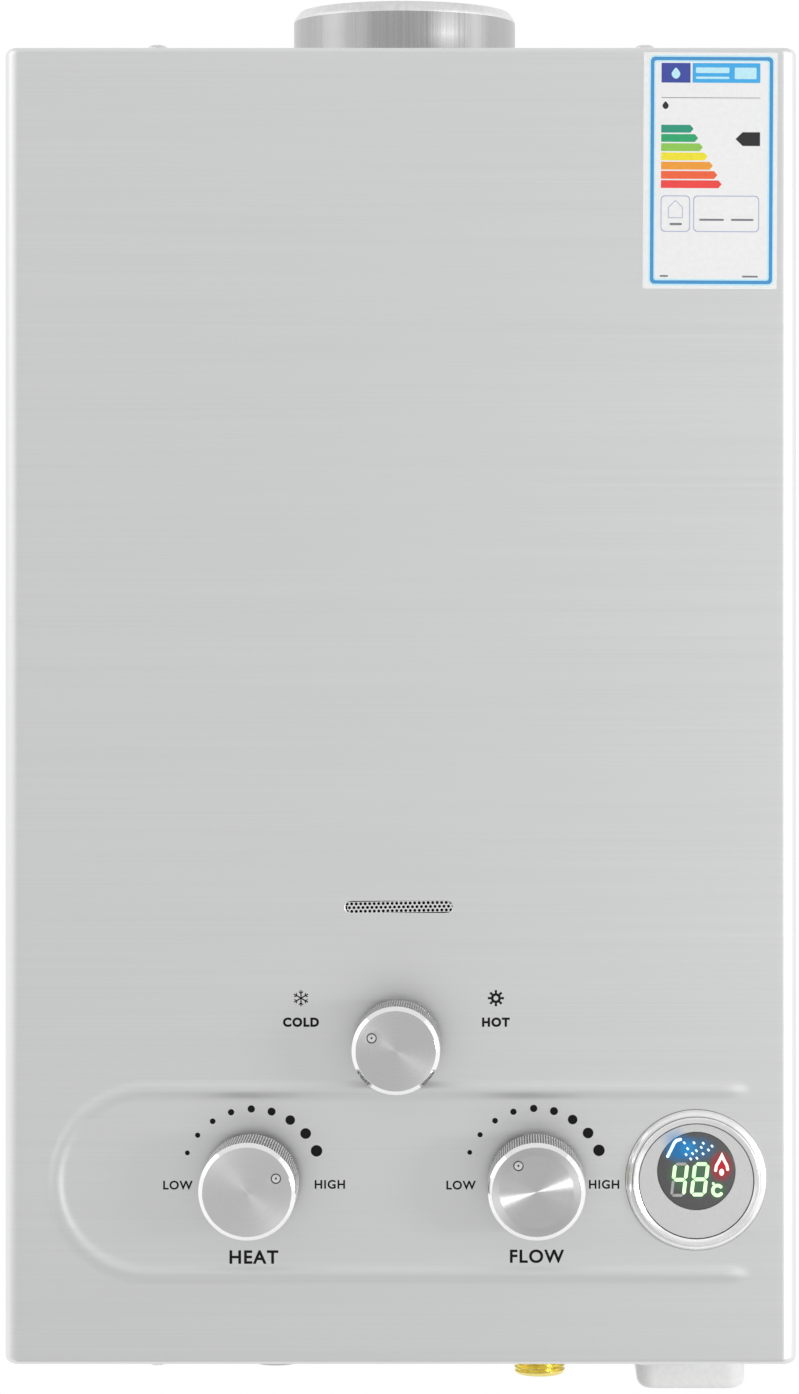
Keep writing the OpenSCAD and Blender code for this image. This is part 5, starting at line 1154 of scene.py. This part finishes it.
def cup(rows):
    """Outlines of (drawn in, height, share) rows: each corner is a quarter turn round its own centre, which
    lies the corner's radius inside both sides; drawing in takes as much off the radius."""
    drawn_in, height, share = (np.array(column)[:, None] for column in zip(*rows))
    corner = np.repeat(np.arange(4), CORNER_POINTS)
    turn = np.radians(np.tile(np.linspace(0, 90, CORNER_POINTS), 4) + 90 * corner)
    right, rear = np.array([1, -1, -1, 1])[corner], np.array([1, 1, -1, -1])[corner]
    r = np.maximum(np.where(rear > 0, REAR_ROUND, FRONT_ROUND) - drawn_in, LEAST_ROUND)
    x = right * (box_half[0] - drawn_in - r) + r * np.cos(turn)
    y = rear * (box_half[1] - drawn_in - r) + r * np.sin(turn)
    return sheet_of(box_mid[0] + share * x, box_mid[1] + share * y, height)


foot_turn = np.linspace(0, math.acos(1 - DOOR_IN / FOOT_ROUND), 9)
outside = [(0, box_high[2], 0), (0, box_high[2], 1), (0, LIP_HIGH, 1), (-BOX_LIP, LIP_HIGH, 1),
           (-BOX_LIP, LIP_LOW, 1), (0, LIP_LOW, 1)]
outside += [(FOOT_ROUND * (1 - math.cos(t)), box_low[2] + FOOT_ROUND * (1 - math.sin(t)), 1)
            for t in foot_turn]
sill, ceiling = box_low[2] + RIM_UP, box_high[2] - BOX_WALL
inside = [outside[-1], (DOOR_IN, sill, 1), (BOX_WALL, sill, 1), (BOX_WALL, ceiling, 1),
          (BOX_WALL, ceiling, 0)]
welded("battery_housing", [cup(outside), cup(inside)], [white], ["battery_box"], crease=40)

# %% [markdown]
# The door and the pressed rear frame already have their true shape as solids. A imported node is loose
# triangles, so a copy is merged first; then smooth shading can tell a round corner from a sharp rim.
# The copy stands for the node, and the node itself is left as it was. The door's two front corners
# are rounded to follow the box, with a bevel on the two upright edges there.

# %% Door and rear frame
DOOR_CREASE, FRAME_CREASE = 28, 6


def smoothed(name, node, finish, crease):
    """A merged copy of a node's mesh, shaded smooth up to the crease angle."""
    source = frame["nodes"][node]
    mesh = source.data.copy()
    mesh.materials.clear()
    weld(mesh, outward=False, reach=1e-6)
    return piece(name, mesh, [finish], [node], crease, source["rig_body"])


def rounded_front(made, radius):
    """Rounds the upright edges at a block's two front corners: those whose ends share the lowest y
    and one of the outermost x."""
    work = bmesh.new()
    work.from_mesh(made.data)
    bmesh.ops.dissolve_limit(work, angle_limit=math.radians(0.5), verts=work.verts, edges=work.edges)
    ends = np.array([[v.co for v in edge.verts] for edge in work.edges])
    front = np.all(abs(ends[..., 1] - ends[..., 1].min()) < 1e-5, axis=1)
    upright = np.ptp(ends[..., 0], axis=1) < 1e-6
    side = abs(ends[:, 0, 0] - box_mid[0] * MM) > (box_half[0] - DOOR_IN - DOOR_GAP - 0.1) * MM
    chosen = [edge for edge, wanted in zip(work.edges, front & upright & side) if wanted]
    bmesh.ops.bevel(work, geom=chosen, offset=radius * MM, segments=8, profile=0.5, affect="EDGES")
    work.to_mesh(made.data)
    work.free()
    made.data.set_sharp_from_angle(angle=math.radians(DOOR_CREASE))
    print("rounded", len(chosen), "edges of", made.name)


door = smoothed("battery_door", "battery_lid", white, DOOR_CREASE)
rounded_front(door, FRONT_ROUND - DOOR_IN - DOOR_GAP)


def spangled(name):
    """Zinc-dipped sheet: crystals are cells of a Voronoi pattern, each a slightly different grey."""
    material, tree, shader = blank(name)
    crystal = grown(tree, "TexVoronoi", Vector=placed(tree, 140), Scale=1)
    split = grown(tree, "SeparateColor", Color=crystal.outputs["Color"])
    colour = tint(split.outputs[0], [(0.0, grey3(0.53, -0.015)), (1.0, grey3(0.64, -0.01))])
    feed(shader, Base_Color=colour, Roughness=spread(split.outputs[1], 0.28, 0.5), Metallic=0.85)
    return material


spangle = spangled("spangled_zinc")
smoothed("back_frame", "rear_frame", spangle, FRAME_CREASE)

# %% [markdown]
# One piece inside changes its shape: the spring that pushes the water valve's rod back. It is a
# round wire carried along a helix, with the ends closed by flat caps. When the rod moves, the spring
# is pressed towards its fixed end; here it is built at rest and given a mesh of its own.

# %% Return spring
SPRING_TURNS, WIRE_R, FIXED_END, ROD_TRAVEL = 7, 0.5, -24.0, 2.5
STEPS_PER_TURN, WIRE_SIDES = 36, 14
spring_low, spring_high = (np.array(corner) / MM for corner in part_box("return_spring"))
coil_r = (spring_high[2] - spring_low[2]) / 2 - WIRE_R
coil_y, coil_z = (spring_low[1:] + spring_high[1:]) / 2
along = np.linspace(0, 1, SPRING_TURNS * STEPS_PER_TURN + 1)[:, None]
wind = 2 * np.pi * SPRING_TURNS * along
start_x, end_x = spring_low[0] + WIRE_R, spring_high[0] - WIRE_R
round_wire = full_turn(WIRE_SIDES)[None, :]
thick = np.concatenate([[[0.0]], np.full((len(along), 1), WIRE_R), [[0.0]]])
wind, along = (np.concatenate([v[:1], v, v[-1:]]) for v in (wind, along))
out_r = coil_r + thick * np.cos(round_wire)
spring_grid = sheet_of(start_x + (end_x - start_x) * along + thick * np.sin(round_wire),
                       coil_y + out_r * np.cos(wind), coil_z + out_r * np.sin(wind))
spring = welded("coil_spring", [spring_grid], [spring_wire], ["return_spring"], crease=60)
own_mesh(spring)

# %% [markdown]
# Everything else stays the solid that it is, inside the casing, and only needs its finish. The
# record names a slot for each node, so one table of finishes reaches all of them.

# %% Finishes of the works
FINISH = {"stainless": brushed, "galvanised": spangle, "screw_steel": bright_zinc, "flue_steel": drawn,
          "turned_aluminium": ribbed, "cast_aluminium": cast, "copper": copper, "brass": brass,
          "burner_steel": pressed, "spring_steel": spring_wire, "ceramic_white": ceramic,
          "black_plastic": black, "red_plastic": red, "white_plastic": white, "silver_plastic": silver_coat,
          "dark_window": window_glass, "board_green": board, "lead_red": sheath, "diaphragm_rubber": rubber,
          "fibre": fibre, "cell_jacket": jacket}
for row in frame["record"]["subparts"]:
    data = frame["nodes"][row["node"]].data
    data.materials.clear()
    data.materials.append(FINISH[row["material_slot"]])
